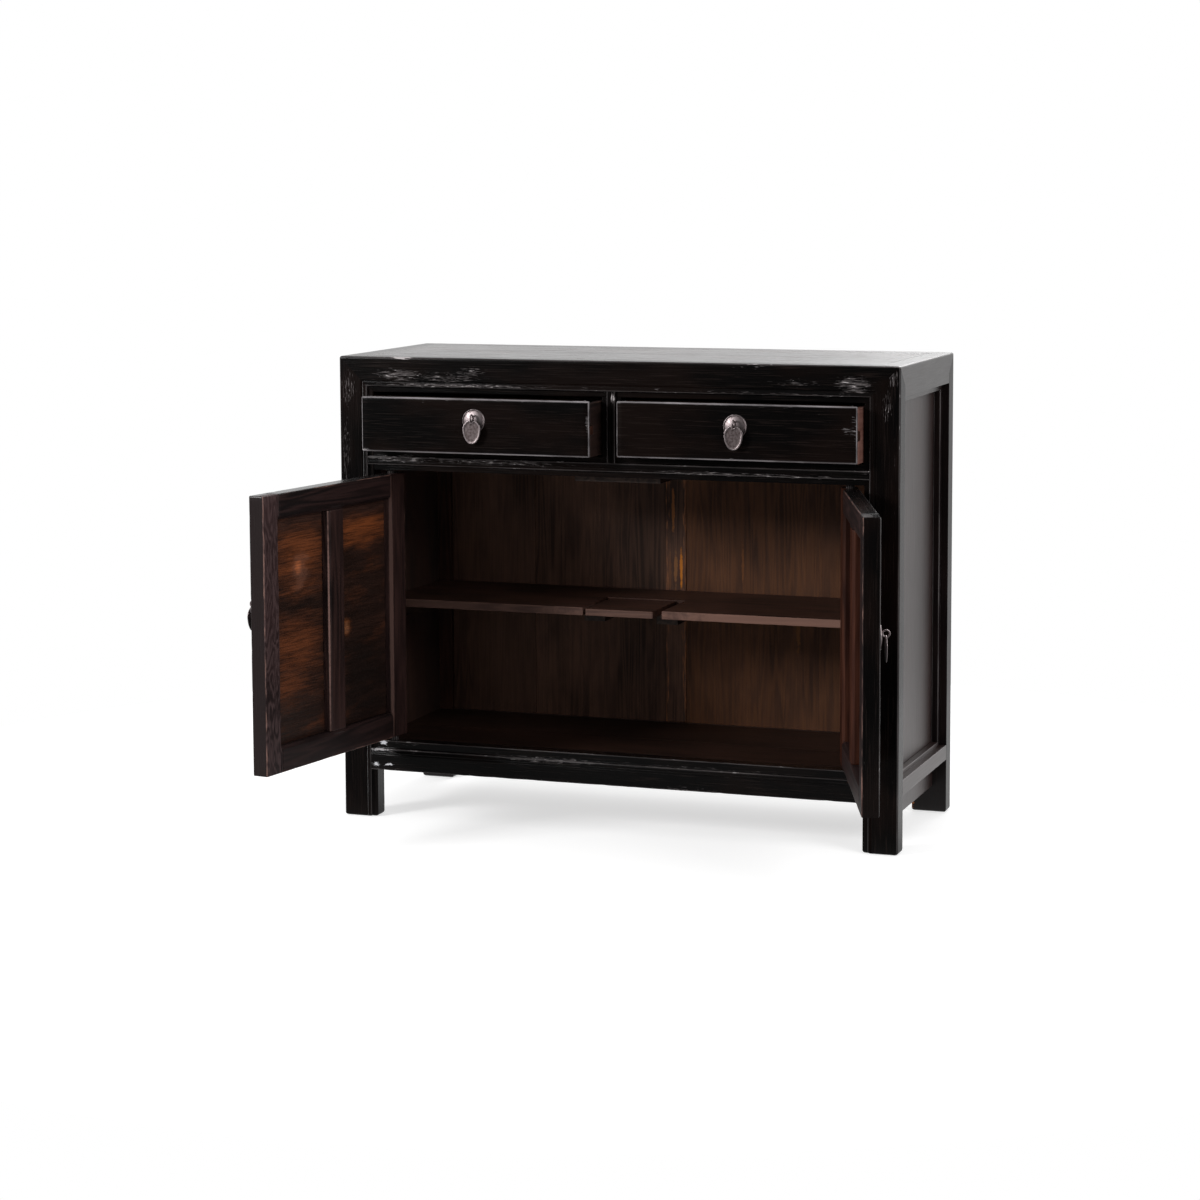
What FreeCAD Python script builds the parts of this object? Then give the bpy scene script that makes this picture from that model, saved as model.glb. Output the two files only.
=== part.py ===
import FreeCAD, Part
import math
import os

os.makedirs("parts", exist_ok=True)

# A black lacquered two-drawer, two-door cabinet on four straight legs.
# It is built about the middle of the case's front plane, front towards -Y, floor at Z = 0,
# with every drawer and door shut, then opened to its resting pose and moved so that the
# origin is under the middle of everything as it stands open.

# Case, outside sizes
case_width = 1040.0
case_depth = 402.0
case_height = 843.5

# Sections of the frame
post_width = 64.0
frame_thickness = 36.0
lip_width = 10.0
lip_set_back = 6.0
bead_width = 10.0
bead_rounding = 3.5
quirk_radius = 1.4
arris_radius = 3.0
foot_rounding = 7.0
soft_edge = 1.5
angle_slack = 1.0
place_slack = 0.01

# Heights of the front rails
lower_rail_bottom = 88.0
lower_rail_band = 40.0
sill_lip_height = 14.0
drawer_opening_height = 105.5
double_bead_height = 16.0
top_rail_band = 54.0

# Joinery of the case
tenon_length = 24.0
tenon_thickness = 12.0
tenon_shoulder = 8.0
groove_depth = 8.0
joint_gap = 0.3

# Sides
side_recess = 26.0
side_panel_thickness = 12.0
moulding_set_back = 13.0
moulding_width = 12.0
side_rail_bottom = 98.5
side_rail_top = 126.0
side_moulding_height = 7.0
right_panel_bottom = 48.0

# Back
back_rail_bottom = 98.0
back_rail_top = 136.0
back_panel_set_in = 10.0
back_panel_thickness = 12.0
back_stile_width = 40.0
back_stile_offset = -2.6
back_stile_set_back = 2.0
back_stile_inset = 6.0
back_board_seam_share = 0.55
seam_radius = 1.0

# Top and floor
top_board_thickness = 18.0
top_batten_height = 24.0
top_batten_width = 44.0
top_batten_reach = 230.0
floor_thickness = 12.0
floor_batten_height = 24.0
floor_batten_width = 44.0
floor_batten_reach = 290.0

# Shelf
shelf_rise = 252.0
shelf_thickness = 15.0
shelf_front = 112.0
shelf_front_depth = 138.0
shelf_back_gap = 5.0
shelf_middle_left = -92.0
shelf_middle_right = 39.0
shelf_notch = 17.0
shelf_seam = 5.0
shelf_middle_thickness = 13.0
bearer_width = 20.0
bearer_height = 24.0
bearer_start_gap = 24.0
bearer_end_gap = 16.0
cleat_width = 40.0
cleat_height = 18.0
cleat_set_back = 58.0

# Carcass parts that carry the drawers
back_drawer_rail_thickness = 20.0
back_drawer_rail_height = 48.0
back_drawer_rail_drop = 2.5
middle_runner_width = 160.0
middle_runner_board = 34.0
runner_rib_width = 80.0
guide_width = 32.0
guide_rise = 22.0
side_runner_width = 42.0
side_runner_height = 22.0
side_guide_width = 26.0

# Drawers
drawer_side_gap = 2.5
drawer_lift = 3.2
drawer_top_gap = 3.3
drawer_face_set_in = 2.0
drawer_rear_gap = 6.0
drawer_front_thickness = 20.0
drawer_side_thickness = 12.0
drawer_back_thickness = 12.0
drawer_lap = 15.0
drawer_pin_height = 16.0
drawer_side_drop = 4.0
drawer_bottom_thickness = 8.0
drawer_bottom_rise = 10.0
drawer_groove = 5.0
drawer_arris = 4.0
running_gap = 0.3
left_drawer_out = 55.0
right_drawer_out = 32.0

# Doors
door_hinge_gap = 4.0
door_centre_gap = 1.5
door_bottom_gap = 9.0
door_top_gap = 6.0
door_thickness = 29.5
pivot_inset = 24.0
pivot_radius = 8.0
pivot_socket_depth = 16.0
pivot_clearance = 0.05
pivot_end_gap = 1.0
hinge_edge_rounding = 6.0
hinge_stile_width = 51.0
free_stile_width = 47.0
middle_stile_width = 50.0
door_rail_width = 45.0
door_panel_thickness = 8.0
door_panel_set_in = 6.0
door_groove = 7.0
door_tenon_length = 26.0
door_tenon_shoulder = 12.0
inner_chamfer = 5.0
outer_chamfer = 3.0
left_door_angle = 98.8
right_door_angle = 109.4

# Pulls
plate_radius = 21.5
plate_height = 4.5
plate_rim = 2.6
plate_rim_height = 2.0
plate_rim_foot = 1.2
eye_radius = 5.6
eye_wire = 1.4
eye_reach = 10.6
eye_rise = 6.0
leaf_width = 34.0
leaf_length = 43.5
leaf_thickness = 2.0
leaf_hole = 2.2
leaf_above_hole = 3.6
leaf_hanging_gap = 0.3
leaf_rim = 4.2
leaf_dish = 0.7
drawer_pull_rise = 10.0
door_pull_rise = 46.0
dome_swell_share = 0.76
leaf_half_width_shares = [0.36, 0.72, 0.95, 1.0, 0.93, 0.79, 0.56, 0.3]
leaf_drop_shares = [0.035, 0.14, 0.28, 0.42, 0.6, 0.76, 0.9, 0.975]

# Places that follow from the sizes above
half_width = case_width / 2
post_inner = half_width - post_width
band_inner = post_inner + lip_width
frame_back = case_depth - frame_thickness
lower_rail_top = lower_rail_bottom + lower_rail_band
sill_top = lower_rail_top + sill_lip_height
top_rail_bottom = case_height - top_rail_band
top_lip_bottom = top_rail_bottom - lip_width
drawer_rail_top = top_lip_bottom - drawer_opening_height
drawer_rail_band_top = drawer_rail_top - lip_width
drawer_rail_band_bottom = drawer_rail_band_top - double_bead_height
drawer_rail_bottom = drawer_rail_band_bottom - lip_width
back_panel_front = frame_back + back_panel_set_in
back_stile_left = back_stile_offset - back_stile_width / 2
back_stile_right = back_stile_offset + back_stile_width / 2
back_board_seam = -half_width * back_board_seam_share
floor_top = back_rail_top
shelf_top = floor_top + shelf_rise
shelf_joint_line = shelf_front + shelf_front_depth
shelf_back = back_panel_front - shelf_back_gap
bearer_start = frame_thickness + bearer_start_gap
bearer_end = frame_back - bearer_end_gap
cleat_start = shelf_front + cleat_set_back
divider_band = double_bead_height / 2
divider_half = divider_band + lip_width
panel_outer = half_width - side_recess
panel_inner = panel_outer - side_panel_thickness
moulding_face = half_width - moulding_set_back
drawer_bottom = drawer_rail_top + drawer_lift
drawer_height = top_lip_bottom - drawer_top_gap - drawer_bottom
runner_top = drawer_bottom - running_gap
back_rail_face = frame_back - back_drawer_rail_thickness
back_drawer_rail_top = drawer_bottom - back_drawer_rail_drop
back_drawer_rail_bottom = back_drawer_rail_top - back_drawer_rail_height
drawer_depth = back_rail_face - drawer_rear_gap - drawer_face_set_in
door_bottom = sill_top + door_bottom_gap
door_top = drawer_rail_bottom - door_top_gap
pivot_x = post_inner - door_hinge_gap - pivot_inset
pivot_y = lip_set_back + door_thickness / 2

up = FreeCAD.Vector(0, 0, 1)
across = FreeCAD.Vector(1, 0, 0)
deep = FreeCAD.Vector(0, 1, 0)
middle = FreeCAD.Vector(0, 0, 0)


def block(x_range, y_range, z_range):
    """A box between two places on each axis."""
    corner = FreeCAD.Vector(x_range[0], y_range[0], z_range[0])
    return Part.makeBox(x_range[1] - x_range[0], y_range[1] - y_range[0], z_range[1] - z_range[0], corner)


def rod(start, direction, radius, length):
    """A round bar from a place along a direction."""
    return Part.makeCylinder(radius, length, start, direction)


def prism(points, travel):
    """A polygon of corners carried along a straight travel."""
    corners = [FreeCAD.Vector(*point) for point in points]
    face = Part.Face(Part.makePolygon(corners + [corners[0]]))
    return face.extrude(FreeCAD.Vector(*travel))


def mirrored(shape):
    """The same piece for the other side of the cabinet."""
    return shape.mirror(middle, across)


def edges_along(shape, direction, wanted):
    """Straight edges that run along a direction and whose middle passes a test."""
    found = []
    for edge in shape.Edges:
        if len(edge.Vertexes) != 2:
            continue
        run = edge.Vertexes[1].Point.sub(edge.Vertexes[0].Point)
        if run.Length == 0:
            continue
        if abs(run.dot(direction)) / run.Length > math.cos(math.radians(angle_slack)):
            if wanted(edge.CenterOfMass):
                found.append(edge)
    return found


def near(first, second):
    """Two places that are the same but for rounding."""
    return abs(first - second) < place_slack


def rounded(shape, direction, wanted, radius):
    """The piece with the chosen arrises rounded over."""
    edges = edges_along(shape, direction, wanted)
    return shape.makeFillet(radius, edges)


def softened(shape, direction):
    """The piece with all four long arrises eased."""
    return rounded(shape, direction, lambda place: True, soft_edge)


def top_long_rail_room():
    """The room of the front top rail: mitred to the posts in front and to the side rails above."""
    low = top_lip_bottom
    fall = case_height - low
    front_view = [
        (-half_width, 0, case_height),
        (half_width, 0, case_height),
        (half_width - fall, 0, low),
        (-half_width + fall, 0, low),
    ]
    plan = [
        (-half_width, 0, low),
        (half_width, 0, low),
        (half_width - frame_thickness, frame_thickness, low),
        (-half_width + frame_thickness, frame_thickness, low),
    ]
    room = prism(front_view, (0, frame_thickness, 0))
    return room.common(prism(plan, (0, 0, fall)))


def top_side_rail_room():
    """The room of the right top rail: mitred in plan, shouldered and mitred to the posts."""
    side_view = [
        (0, 0, case_height),
        (0, case_depth, case_height),
        (0, frame_back, case_height - frame_thickness),
        (0, frame_back, top_rail_bottom),
        (0, frame_thickness, top_rail_bottom),
        (0, frame_thickness, case_height - frame_thickness),
    ]
    inner = half_width - frame_thickness
    plan = [
        (half_width, 0, top_rail_bottom),
        (half_width, case_depth, top_rail_bottom),
        (inner, frame_back, top_rail_bottom),
        (inner, frame_thickness, top_rail_bottom),
    ]
    room = prism(side_view, (half_width, 0, 0))
    return room.common(prism(plan, (0, 0, top_rail_band)))


def to_back(shape):
    """The same piece turned end for end about the middle of the depth."""
    return shape.mirror(FreeCAD.Vector(0, case_depth / 2, 0), deep)


long_room = top_long_rail_room()
side_room = top_side_rail_room()
rooms = [long_room, to_back(long_room), side_room, mirrored(side_room)]


def top_board_seat():
    """The space between the top rails that the top boards fill."""
    inner = half_width - frame_thickness
    low = case_height - top_board_thickness
    return block((-inner, inner), (frame_thickness, frame_back), (low, case_height))


def top_front_rail():
    """Front top rail with a bead and a set-back lip along the drawers."""
    band = block((-half_width, half_width), (0, frame_thickness), (top_rail_bottom, case_height))
    band = rounded(band, across, lambda p: near(p.y, 0) and near(p.z, case_height), arris_radius)
    band = rounded(band, across, lambda p: near(p.y, 0) and p.z < case_height - lip_width, bead_rounding)
    lip_z = (top_lip_bottom, case_height - arris_radius)
    lip = block((-half_width, half_width), (lip_set_back, frame_thickness), lip_z)
    quirk_height = top_rail_bottom + bead_width
    quirk = rod(FreeCAD.Vector(-half_width, 0, quirk_height), across, quirk_radius, case_width)
    rail = band.fuse(lip).cut(quirk).common(long_room)
    return rail.removeSplitter()


def top_back_rail():
    """Back top rail, plain, grooved below for the back boards."""
    low = top_rail_bottom
    rail = block((-half_width, half_width), (frame_back, case_depth), (low, case_height))
    rail = rounded(rail, across, lambda p: near(p.y, case_depth) and near(p.z, case_height), arris_radius)
    rail = rail.common(to_back(long_room))
    return rail.cut(back_board_groove())


def back_board_groove():
    """The groove round the back that holds the back boards."""
    reach = post_inner + groove_depth
    z_range = (back_rail_top - groove_depth, top_rail_bottom + groove_depth)
    return block((-reach, reach), groove_y_range(), z_range)


def top_side_rail():
    """Right top rail with a moulded lip over the side panel."""
    rail_x = (half_width - frame_thickness, half_width)
    rail = block(rail_x, (0, case_depth), (top_rail_bottom, case_height))
    rail = rounded(rail, deep, lambda p: near(p.x, half_width) and near(p.z, case_height), arris_radius)
    rail = rail.common(side_room)
    lip = block(
        (panel_outer, moulding_face),
        (frame_thickness, frame_back),
        (top_rail_bottom - moulding_width, top_rail_bottom),
    )
    return rail.fuse(lip).cut(side_panel_room(side_rail_bottom)).removeSplitter()


def side_panel_room(low):
    """The groove that the right side panel stands in."""
    gap = joint_gap / 2
    x_range = (panel_inner - gap, panel_outer + gap)
    y_range = (frame_thickness - groove_depth - gap, frame_back + groove_depth + gap)
    return block(x_range, y_range, (low - gap, top_rail_bottom + groove_depth + gap))


def side_panel(low):
    """Right side panel, one recessed board."""
    y_range = (frame_thickness - groove_depth, frame_back + groove_depth)
    return block((panel_inner, panel_outer), y_range, (low, top_rail_bottom + groove_depth))


def side_tenon_room():
    """The two tenons of the lower right rail."""
    y_range = (frame_thickness - tenon_length / 2, frame_back + tenon_length / 2)
    shoulder = tenon_shoulder / 2
    x_range = (panel_outer + shoulder, panel_outer + shoulder + tenon_thickness)
    return block(x_range, y_range, (side_rail_bottom + shoulder, side_rail_top - shoulder))


def lower_side_rail():
    """Lower right rail in front of the side panel, with the moulding along its top."""
    rail_x = (panel_outer + joint_gap, half_width)
    rail = block(rail_x, (frame_thickness, frame_back), (side_rail_bottom, side_rail_top))
    rail = rounded(rail, deep, lambda p: near(p.x, half_width), soft_edge)
    bead = block(
        (panel_outer + joint_gap, moulding_face),
        (frame_thickness + moulding_width, frame_back - moulding_width),
        (side_rail_top, side_rail_top + side_moulding_height),
    )
    return rail.fuse(bead).fuse(side_tenon_room()).removeSplitter()


def front_rail_tenons(low, high):
    """The two tenons of a front rail."""
    reach = post_inner + tenon_length
    y_range = (lip_set_back + tenon_shoulder, lip_set_back + tenon_shoulder + tenon_thickness)
    return block((-reach, reach), y_range, (low + tenon_shoulder, high - tenon_shoulder))


def pivot_socket(low):
    """The right and left sockets for the door pivots, open at one end."""
    start = FreeCAD.Vector(pivot_x, pivot_y, low)
    socket = rod(start, up, pivot_radius + pivot_clearance, pivot_socket_depth)
    return [socket, mirrored(socket)]


def lower_front_rail():
    """Lower front rail with a bead, a set-back sill lip and the lower pivot sockets."""
    band = block((-band_inner, band_inner), (0, frame_thickness), (lower_rail_bottom, lower_rail_top))
    band = rounded(band, across, lambda p: near(p.y, 0) and near(p.z, lower_rail_top), bead_rounding)
    band = rounded(band, across, lambda p: near(p.y, 0) and near(p.z, lower_rail_bottom), soft_edge)
    lip_z = (lower_rail_bottom + lip_width, sill_top)
    lip = block((-post_inner, post_inner), (lip_set_back, frame_thickness), lip_z)
    for side in (-1, 1):
        ends = sorted((side * post_inner, side * band_inner))
        behind = block(ends, (lip_set_back, frame_thickness), (lower_rail_bottom, lower_rail_top))
        band = band.cut(behind)
    quirk_start = FreeCAD.Vector(-band_inner, 0, lower_rail_top - bead_width)
    quirk = rod(quirk_start, across, quirk_radius, 2 * band_inner)
    rail = band.fuse(lip).fuse(front_rail_tenons(lower_rail_bottom, lower_rail_top)).cut(quirk)
    for socket in pivot_socket(sill_top - pivot_socket_depth):
        rail = rail.cut(socket)
    return rail.removeSplitter()


def drawer_rail():
    """Rail between doors and drawers: a double bead between two set-back lips, with the upper sockets."""
    band_range = (drawer_rail_band_bottom, drawer_rail_band_top)
    band = block((-band_inner, band_inner), (0, frame_thickness), band_range)
    band = rounded(band, across, lambda p: near(p.y, 0), bead_rounding)
    for side in (-1, 1):
        ends = sorted((side * post_inner, side * band_inner))
        band = band.cut(block(ends, (lip_set_back, frame_thickness), band_range))
    body_z = (drawer_rail_bottom, drawer_rail_top)
    body = block((-post_inner, post_inner), (lip_set_back, frame_thickness), body_z)
    quirk_height = (drawer_rail_band_bottom + drawer_rail_band_top) / 2
    quirk = rod(FreeCAD.Vector(-band_inner, 0, quirk_height), across, quirk_radius, 2 * band_inner)
    rail = band.fuse(body).fuse(front_rail_tenons(drawer_rail_bottom, drawer_rail_top)).cut(quirk)
    for socket in pivot_socket(drawer_rail_bottom):
        rail = rail.cut(socket)
    return rail.removeSplitter()


def drawer_divider():
    """Short upright between the drawers, with the same double bead."""
    band_z = (drawer_rail_band_top, top_rail_bottom)
    band = block((-divider_band, divider_band), (0, frame_thickness), band_z)
    band = rounded(band, up, lambda p: near(p.y, 0), bead_rounding)
    body_z = (drawer_rail_top, top_lip_bottom)
    body_x = (-divider_half, divider_half)
    body_y = (lip_set_back, frame_thickness)
    band = band.cut(block(body_x, body_y, (band_z[0], body_z[0])))
    band = band.cut(block(body_x, body_y, (body_z[1], band_z[1])))
    body = block(body_x, body_y, body_z)
    quirk = rod(FreeCAD.Vector(0, 0, band_z[0]), up, quirk_radius, band_z[1] - band_z[0])
    return band.fuse(body).cut(quirk).removeSplitter()


def post_body(front):
    """One right-hand post before its top is mitred and its grooves are cut."""
    band_start = band_inner if front else post_inner
    column = block((band_start, half_width), (0, frame_thickness), (0, case_height))
    column = rounded(column, up, lambda p: near(p.y, 0) and near(p.x, half_width), arris_radius)
    if front:
        column = rounded(column, up, lambda p: near(p.y, 0) and p.x < half_width - lip_width, bead_rounding)
    column = rounded(column, deep, lambda p: near(p.z, 0), foot_rounding)
    if front:
        lip = block((post_inner, band_inner + lip_width), (lip_set_back, frame_thickness), (0, case_height))
        lip = rounded(lip, deep, lambda p: near(p.z, 0) and near(p.x, post_inner), foot_rounding / 2)
        quirk = rod(FreeCAD.Vector(band_inner + bead_width, 0, 0), up, quirk_radius, case_height)
        column = column.fuse(lip.cut(block_under_foot())).cut(quirk)
    moulding = block(
        (panel_outer, moulding_face),
        (frame_thickness, frame_thickness + moulding_width),
        (side_rail_top, top_rail_bottom - moulding_width),
    )
    return column.fuse(moulding)


def block_under_foot():
    """A sliver under the outer part of the front lip, so that the sole stays rounded."""
    return block((band_inner, band_inner + lip_width), (0, frame_thickness), (0, foot_rounding))


def post(front, panel_low):
    """One right-hand post, finished."""
    column = post_body(front)
    if not front:
        column = to_back(column)
    for room in rooms:
        column = column.cut(room)
    column = column.cut(side_panel_room(panel_low)).cut(side_tenon_room())
    if front:
        column = column.cut(front_rail_tenons(lower_rail_bottom, lower_rail_top))
        column = column.cut(front_rail_tenons(drawer_rail_bottom, drawer_rail_top))
    else:
        column = column.cut(back_board_groove()).cut(back_rail_tenons())
    return column.removeSplitter()


def back_rail_tenons():
    """The two tenons of the lower back rail."""
    reach = post_inner + tenon_length
    y_start = frame_back + tenon_shoulder / 2
    low = back_rail_bottom + tenon_shoulder
    high = back_rail_top - tenon_shoulder - groove_depth / 2
    return block((-reach, reach), (y_start, y_start + tenon_thickness), (low, high))


def lower_back_rail():
    """Lower back rail, grooved above for the back boards."""
    rail = block((-post_inner, post_inner), (frame_back, case_depth), (back_rail_bottom, back_rail_top))
    rail = softened(rail, across).cut(back_board_groove())
    return rail.fuse(back_rail_tenons()).removeSplitter()


def back_stile():
    """Upright of the back, between the two back panels."""
    y_range = (back_panel_front - back_stile_set_back, case_depth - back_stile_inset)
    stile = block((back_stile_left, back_stile_right), y_range, (back_rail_top, top_rail_bottom))
    grooves = block((-half_width, half_width), groove_y_range(), (back_rail_top, top_rail_bottom))
    web = block(
        (back_stile_left + groove_depth, back_stile_right - groove_depth),
        groove_y_range(),
        (back_rail_top, top_rail_bottom),
    )
    return stile.cut(grooves).fuse(web).removeSplitter()


def groove_y_range():
    """Front and back of the groove for the back boards."""
    gap = joint_gap / 2
    return (back_panel_front - gap, back_panel_front + back_panel_thickness + gap)


def back_panel(left):
    """One back panel of upright boards; the left one shows the seam of two boards."""
    reach = post_inner + groove_depth
    if left:
        x_range = (-reach, back_stile_left + groove_depth - joint_gap)
    else:
        x_range = (back_stile_right - groove_depth + joint_gap, reach)
    y_range = (back_panel_front, back_panel_front + back_panel_thickness)
    z_range = (back_rail_top - groove_depth, top_rail_bottom + groove_depth)
    panel = block(x_range, y_range, z_range)
    if left:
        seam_start = FreeCAD.Vector(back_board_seam, back_panel_front, z_range[0])
        seam = rod(seam_start, up, seam_radius, z_range[1] - z_range[0])
        panel = panel.cut(seam)
    return panel


def top_boards():
    """The boards of the top, let in flush between the rails, with one seam."""
    boards = top_board_seat()
    inner = half_width - frame_thickness
    seam = rod(FreeCAD.Vector(-inner, case_depth / 2, case_height), across, seam_radius, 2 * inner)
    return boards.cut(seam)


def batten_pair(reach, width, low, high):
    """Two like battens from the front frame to the back frame."""
    battens = []
    for side in (-1, 1):
        centre = side * reach
        batten = block((centre - width / 2, centre + width / 2), (frame_thickness, frame_back), (low, high))
        battens.append(batten)
    return Part.makeCompound(battens)


def top_battens():
    """Two battens under the top boards."""
    high = case_height - top_board_thickness
    return batten_pair(top_batten_reach, top_batten_width, high - top_batten_height, high)


def floor_boards():
    """The cupboard's floor, flush with the lower back rail, with one seam."""
    low = floor_top - floor_thickness
    boards = block((-panel_inner, panel_inner), (frame_thickness, frame_back), (low, floor_top))
    seam_start = FreeCAD.Vector(-panel_inner, case_depth / 2, floor_top)
    seam = rod(seam_start, across, seam_radius, 2 * panel_inner)
    return boards.cut(seam)


def floor_battens():
    """Two battens under the floor."""
    high = floor_top - floor_thickness
    return batten_pair(floor_batten_reach, floor_batten_width, high - floor_batten_height, high)


def shelf_back_board():
    """Rear board of the shelf, the whole width, cut round the back posts."""
    low = shelf_top - shelf_thickness
    reach = panel_inner - joint_gap
    wide = block((-reach, reach), (shelf_joint_line, frame_back - joint_gap), (low, shelf_top))
    narrow_reach = post_inner - joint_gap
    narrow = block((-narrow_reach, narrow_reach), (shelf_joint_line, shelf_back), (low, shelf_top))
    return wide.fuse(narrow).removeSplitter()


def shelf_front_piece(x_range, thickness):
    """One of the three pieces along the front of the shelf."""
    low = shelf_top - shelf_thickness
    piece = block(x_range, (shelf_front, shelf_joint_line), (low, low + thickness))
    return rounded(piece, across, lambda p: near(p.y, shelf_front), soft_edge)


def shelf_side_bearers():
    """The two bearers on the side panels that carry the shelf."""
    high = shelf_top - shelf_thickness
    bearer_x = (panel_inner - bearer_width, panel_inner)
    bearer = block(bearer_x, (bearer_start, bearer_end), (high - bearer_height, high))
    return Part.makeCompound([bearer, mirrored(bearer)])


def shelf_cleats():
    """The two cleats below the joints of the shelf's front."""
    high = shelf_top - shelf_thickness
    cleats = []
    for centre in (shelf_middle_left, shelf_middle_right + shelf_notch / 2):
        x_range = (centre - cleat_width / 2, centre + cleat_width / 2)
        cleats.append(block(x_range, (cleat_start, bearer_end), (high - cleat_height, high)))
    return Part.makeCompound(cleats)


def back_drawer_rail():
    """Rail inside the back that carries the rear ends of the runners."""
    z_range = (back_drawer_rail_bottom, back_drawer_rail_top)
    return block((-panel_inner, panel_inner), (back_rail_face, frame_back), z_range)


def middle_runner():
    """Board, rib and guide between the two drawers, one piece."""
    y_range = (frame_thickness, back_rail_face)
    half_board = middle_runner_width / 2
    board_top = back_drawer_rail_bottom + middle_runner_board
    board = block((-half_board, half_board), y_range, (back_drawer_rail_bottom, board_top))
    half_rib = runner_rib_width / 2
    rib = block((-half_rib, half_rib), y_range, (board_top, runner_top))
    half_guide = guide_width / 2
    guide = block((-half_guide, half_guide), y_range, (runner_top, runner_top + guide_rise))
    return board.fuse(rib).fuse(guide).removeSplitter()


def side_runners():
    """The two outer runners, each with its guide."""
    y_range = (frame_thickness, back_rail_face)
    low = runner_top - side_runner_height
    ledge = block((panel_inner - side_runner_width, panel_inner), y_range, (low, runner_top))
    guide_x = (panel_inner - side_guide_width, panel_inner)
    guide = block(guide_x, y_range, (runner_top, runner_top + guide_rise))
    runner = ledge.fuse(guide).removeSplitter()
    return Part.makeCompound([runner, mirrored(runner)])


drawer_inner = divider_half + drawer_side_gap
drawer_outer = post_inner - drawer_side_gap
drawer_top = drawer_bottom + drawer_height
drawer_face = drawer_face_set_in
drawer_rear = drawer_face + drawer_depth
drawer_side_top = drawer_top - drawer_side_drop
drawer_centre = (drawer_inner + drawer_outer) / 2


def drawer_side_rooms():
    """The two side boards of the right drawer, each lapped into the front round a middle pin."""
    lap_start = drawer_face + drawer_front_thickness - drawer_lap
    pin_middle = (drawer_bottom + drawer_side_top) / 2
    pin_range = (pin_middle - drawer_pin_height / 2, pin_middle + drawer_pin_height / 2)
    boards = []
    for start in (drawer_inner, drawer_outer - drawer_side_thickness):
        x_range = (start, start + drawer_side_thickness)
        board = block(x_range, (lap_start, drawer_rear), (drawer_bottom, drawer_side_top))
        pin = block(x_range, (lap_start, drawer_face + drawer_front_thickness), pin_range)
        boards.append(board.cut(pin))
    return boards


def drawer_bottom_room():
    """The drawer's bottom board with its edges in the grooves."""
    low = drawer_bottom + drawer_bottom_rise
    z_range = (low, low + drawer_bottom_thickness)
    reach = drawer_side_thickness - drawer_groove
    y_range = (
        drawer_face + drawer_front_thickness - drawer_groove,
        drawer_rear - drawer_back_thickness + drawer_groove,
    )
    return block((drawer_inner + reach, drawer_outer - reach), y_range, z_range)


def drawer_front():
    """Drawer front with worn, rounded arrises and laps for the side boards."""
    y_range = (drawer_face, drawer_face + drawer_front_thickness)
    front = block((drawer_inner, drawer_outer), y_range, (drawer_bottom, drawer_top))
    front = rounded(front, across, lambda p: near(p.y, drawer_face), drawer_arris)
    for side in drawer_side_rooms():
        front = front.cut(side)
    return front.cut(drawer_bottom_room())


def drawer_sides():
    """The pair of side boards, grooved for the bottom."""
    boards = [side.cut(drawer_bottom_room()) for side in drawer_side_rooms()]
    return Part.makeCompound(boards)


def drawer_back():
    """Drawer back between the side boards."""
    x_range = (drawer_inner + drawer_side_thickness, drawer_outer - drawer_side_thickness)
    y_range = (drawer_rear - drawer_back_thickness, drawer_rear)
    back = block(x_range, y_range, (drawer_bottom, drawer_side_top))
    return back.cut(drawer_bottom_room())


door_hinge_edge = post_inner - door_hinge_gap
door_free_edge = door_centre_gap
door_face = lip_set_back
door_inside = door_face + door_thickness
hinge_stile_inner = door_hinge_edge - hinge_stile_width
free_stile_inner = door_free_edge + free_stile_width
door_middle = (hinge_stile_inner + free_stile_inner) / 2
panel_bottom = door_bottom + door_rail_width
panel_top = door_top - door_rail_width
door_panel_face = door_face + door_panel_set_in
door_panels_x = [
    (free_stile_inner, door_middle - middle_stile_width / 2),
    (door_middle + middle_stile_width / 2, hinge_stile_inner),
]


def door_panel_boards(extra):
    """The two panels of the right door, with their edges in the grooves."""
    boards = []
    y_range = (door_panel_face - extra, door_panel_face + door_panel_thickness + extra)
    reach = door_groove + extra
    for left, right in door_panels_x:
        z_range = (panel_bottom - reach, panel_top + reach)
        boards.append(block((left - reach, right + reach), y_range, z_range))
    return boards


def chamfer_cutter(x_range, start, end, size):
    """A tapered block that chamfers the frame round one panel, largest at its end."""
    def ring(y_place, grow):
        corners = [
            FreeCAD.Vector(x_range[0] - grow, y_place, panel_bottom - grow),
            FreeCAD.Vector(x_range[1] + grow, y_place, panel_bottom - grow),
            FreeCAD.Vector(x_range[1] + grow, y_place, panel_top + grow),
            FreeCAD.Vector(x_range[0] - grow, y_place, panel_top + grow),
        ]
        return Part.makePolygon(corners + [corners[0]])
    return Part.makeLoft([ring(start, 0), ring(end, size)], True, True)


def door_cutters():
    """Everything that is cut from the right door's frame: grooves and chamfers."""
    cutters = door_panel_boards(joint_gap / 2)
    for x_range in door_panels_x:
        cutters.append(chamfer_cutter(x_range, door_inside - inner_chamfer, door_inside, inner_chamfer))
        cutters.append(chamfer_cutter(x_range, door_face + outer_chamfer, door_face, outer_chamfer))
    return cutters


def door_tenon(x_range, z_range):
    """One tenon in the thickness of the door."""
    return block(x_range, (door_panel_face, door_panel_face + tenon_thickness), z_range)


def door_rail_piece(low, high):
    """One cross rail of the right door with its two tenons."""
    rail = block((free_stile_inner, hinge_stile_inner), (door_face, door_inside), (low, high))
    z_range = (low + door_tenon_shoulder, high - door_tenon_shoulder)
    reach = (free_stile_inner - door_tenon_length, hinge_stile_inner + door_tenon_length)
    return rail.fuse(door_tenon(reach, z_range)).removeSplitter()


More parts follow.
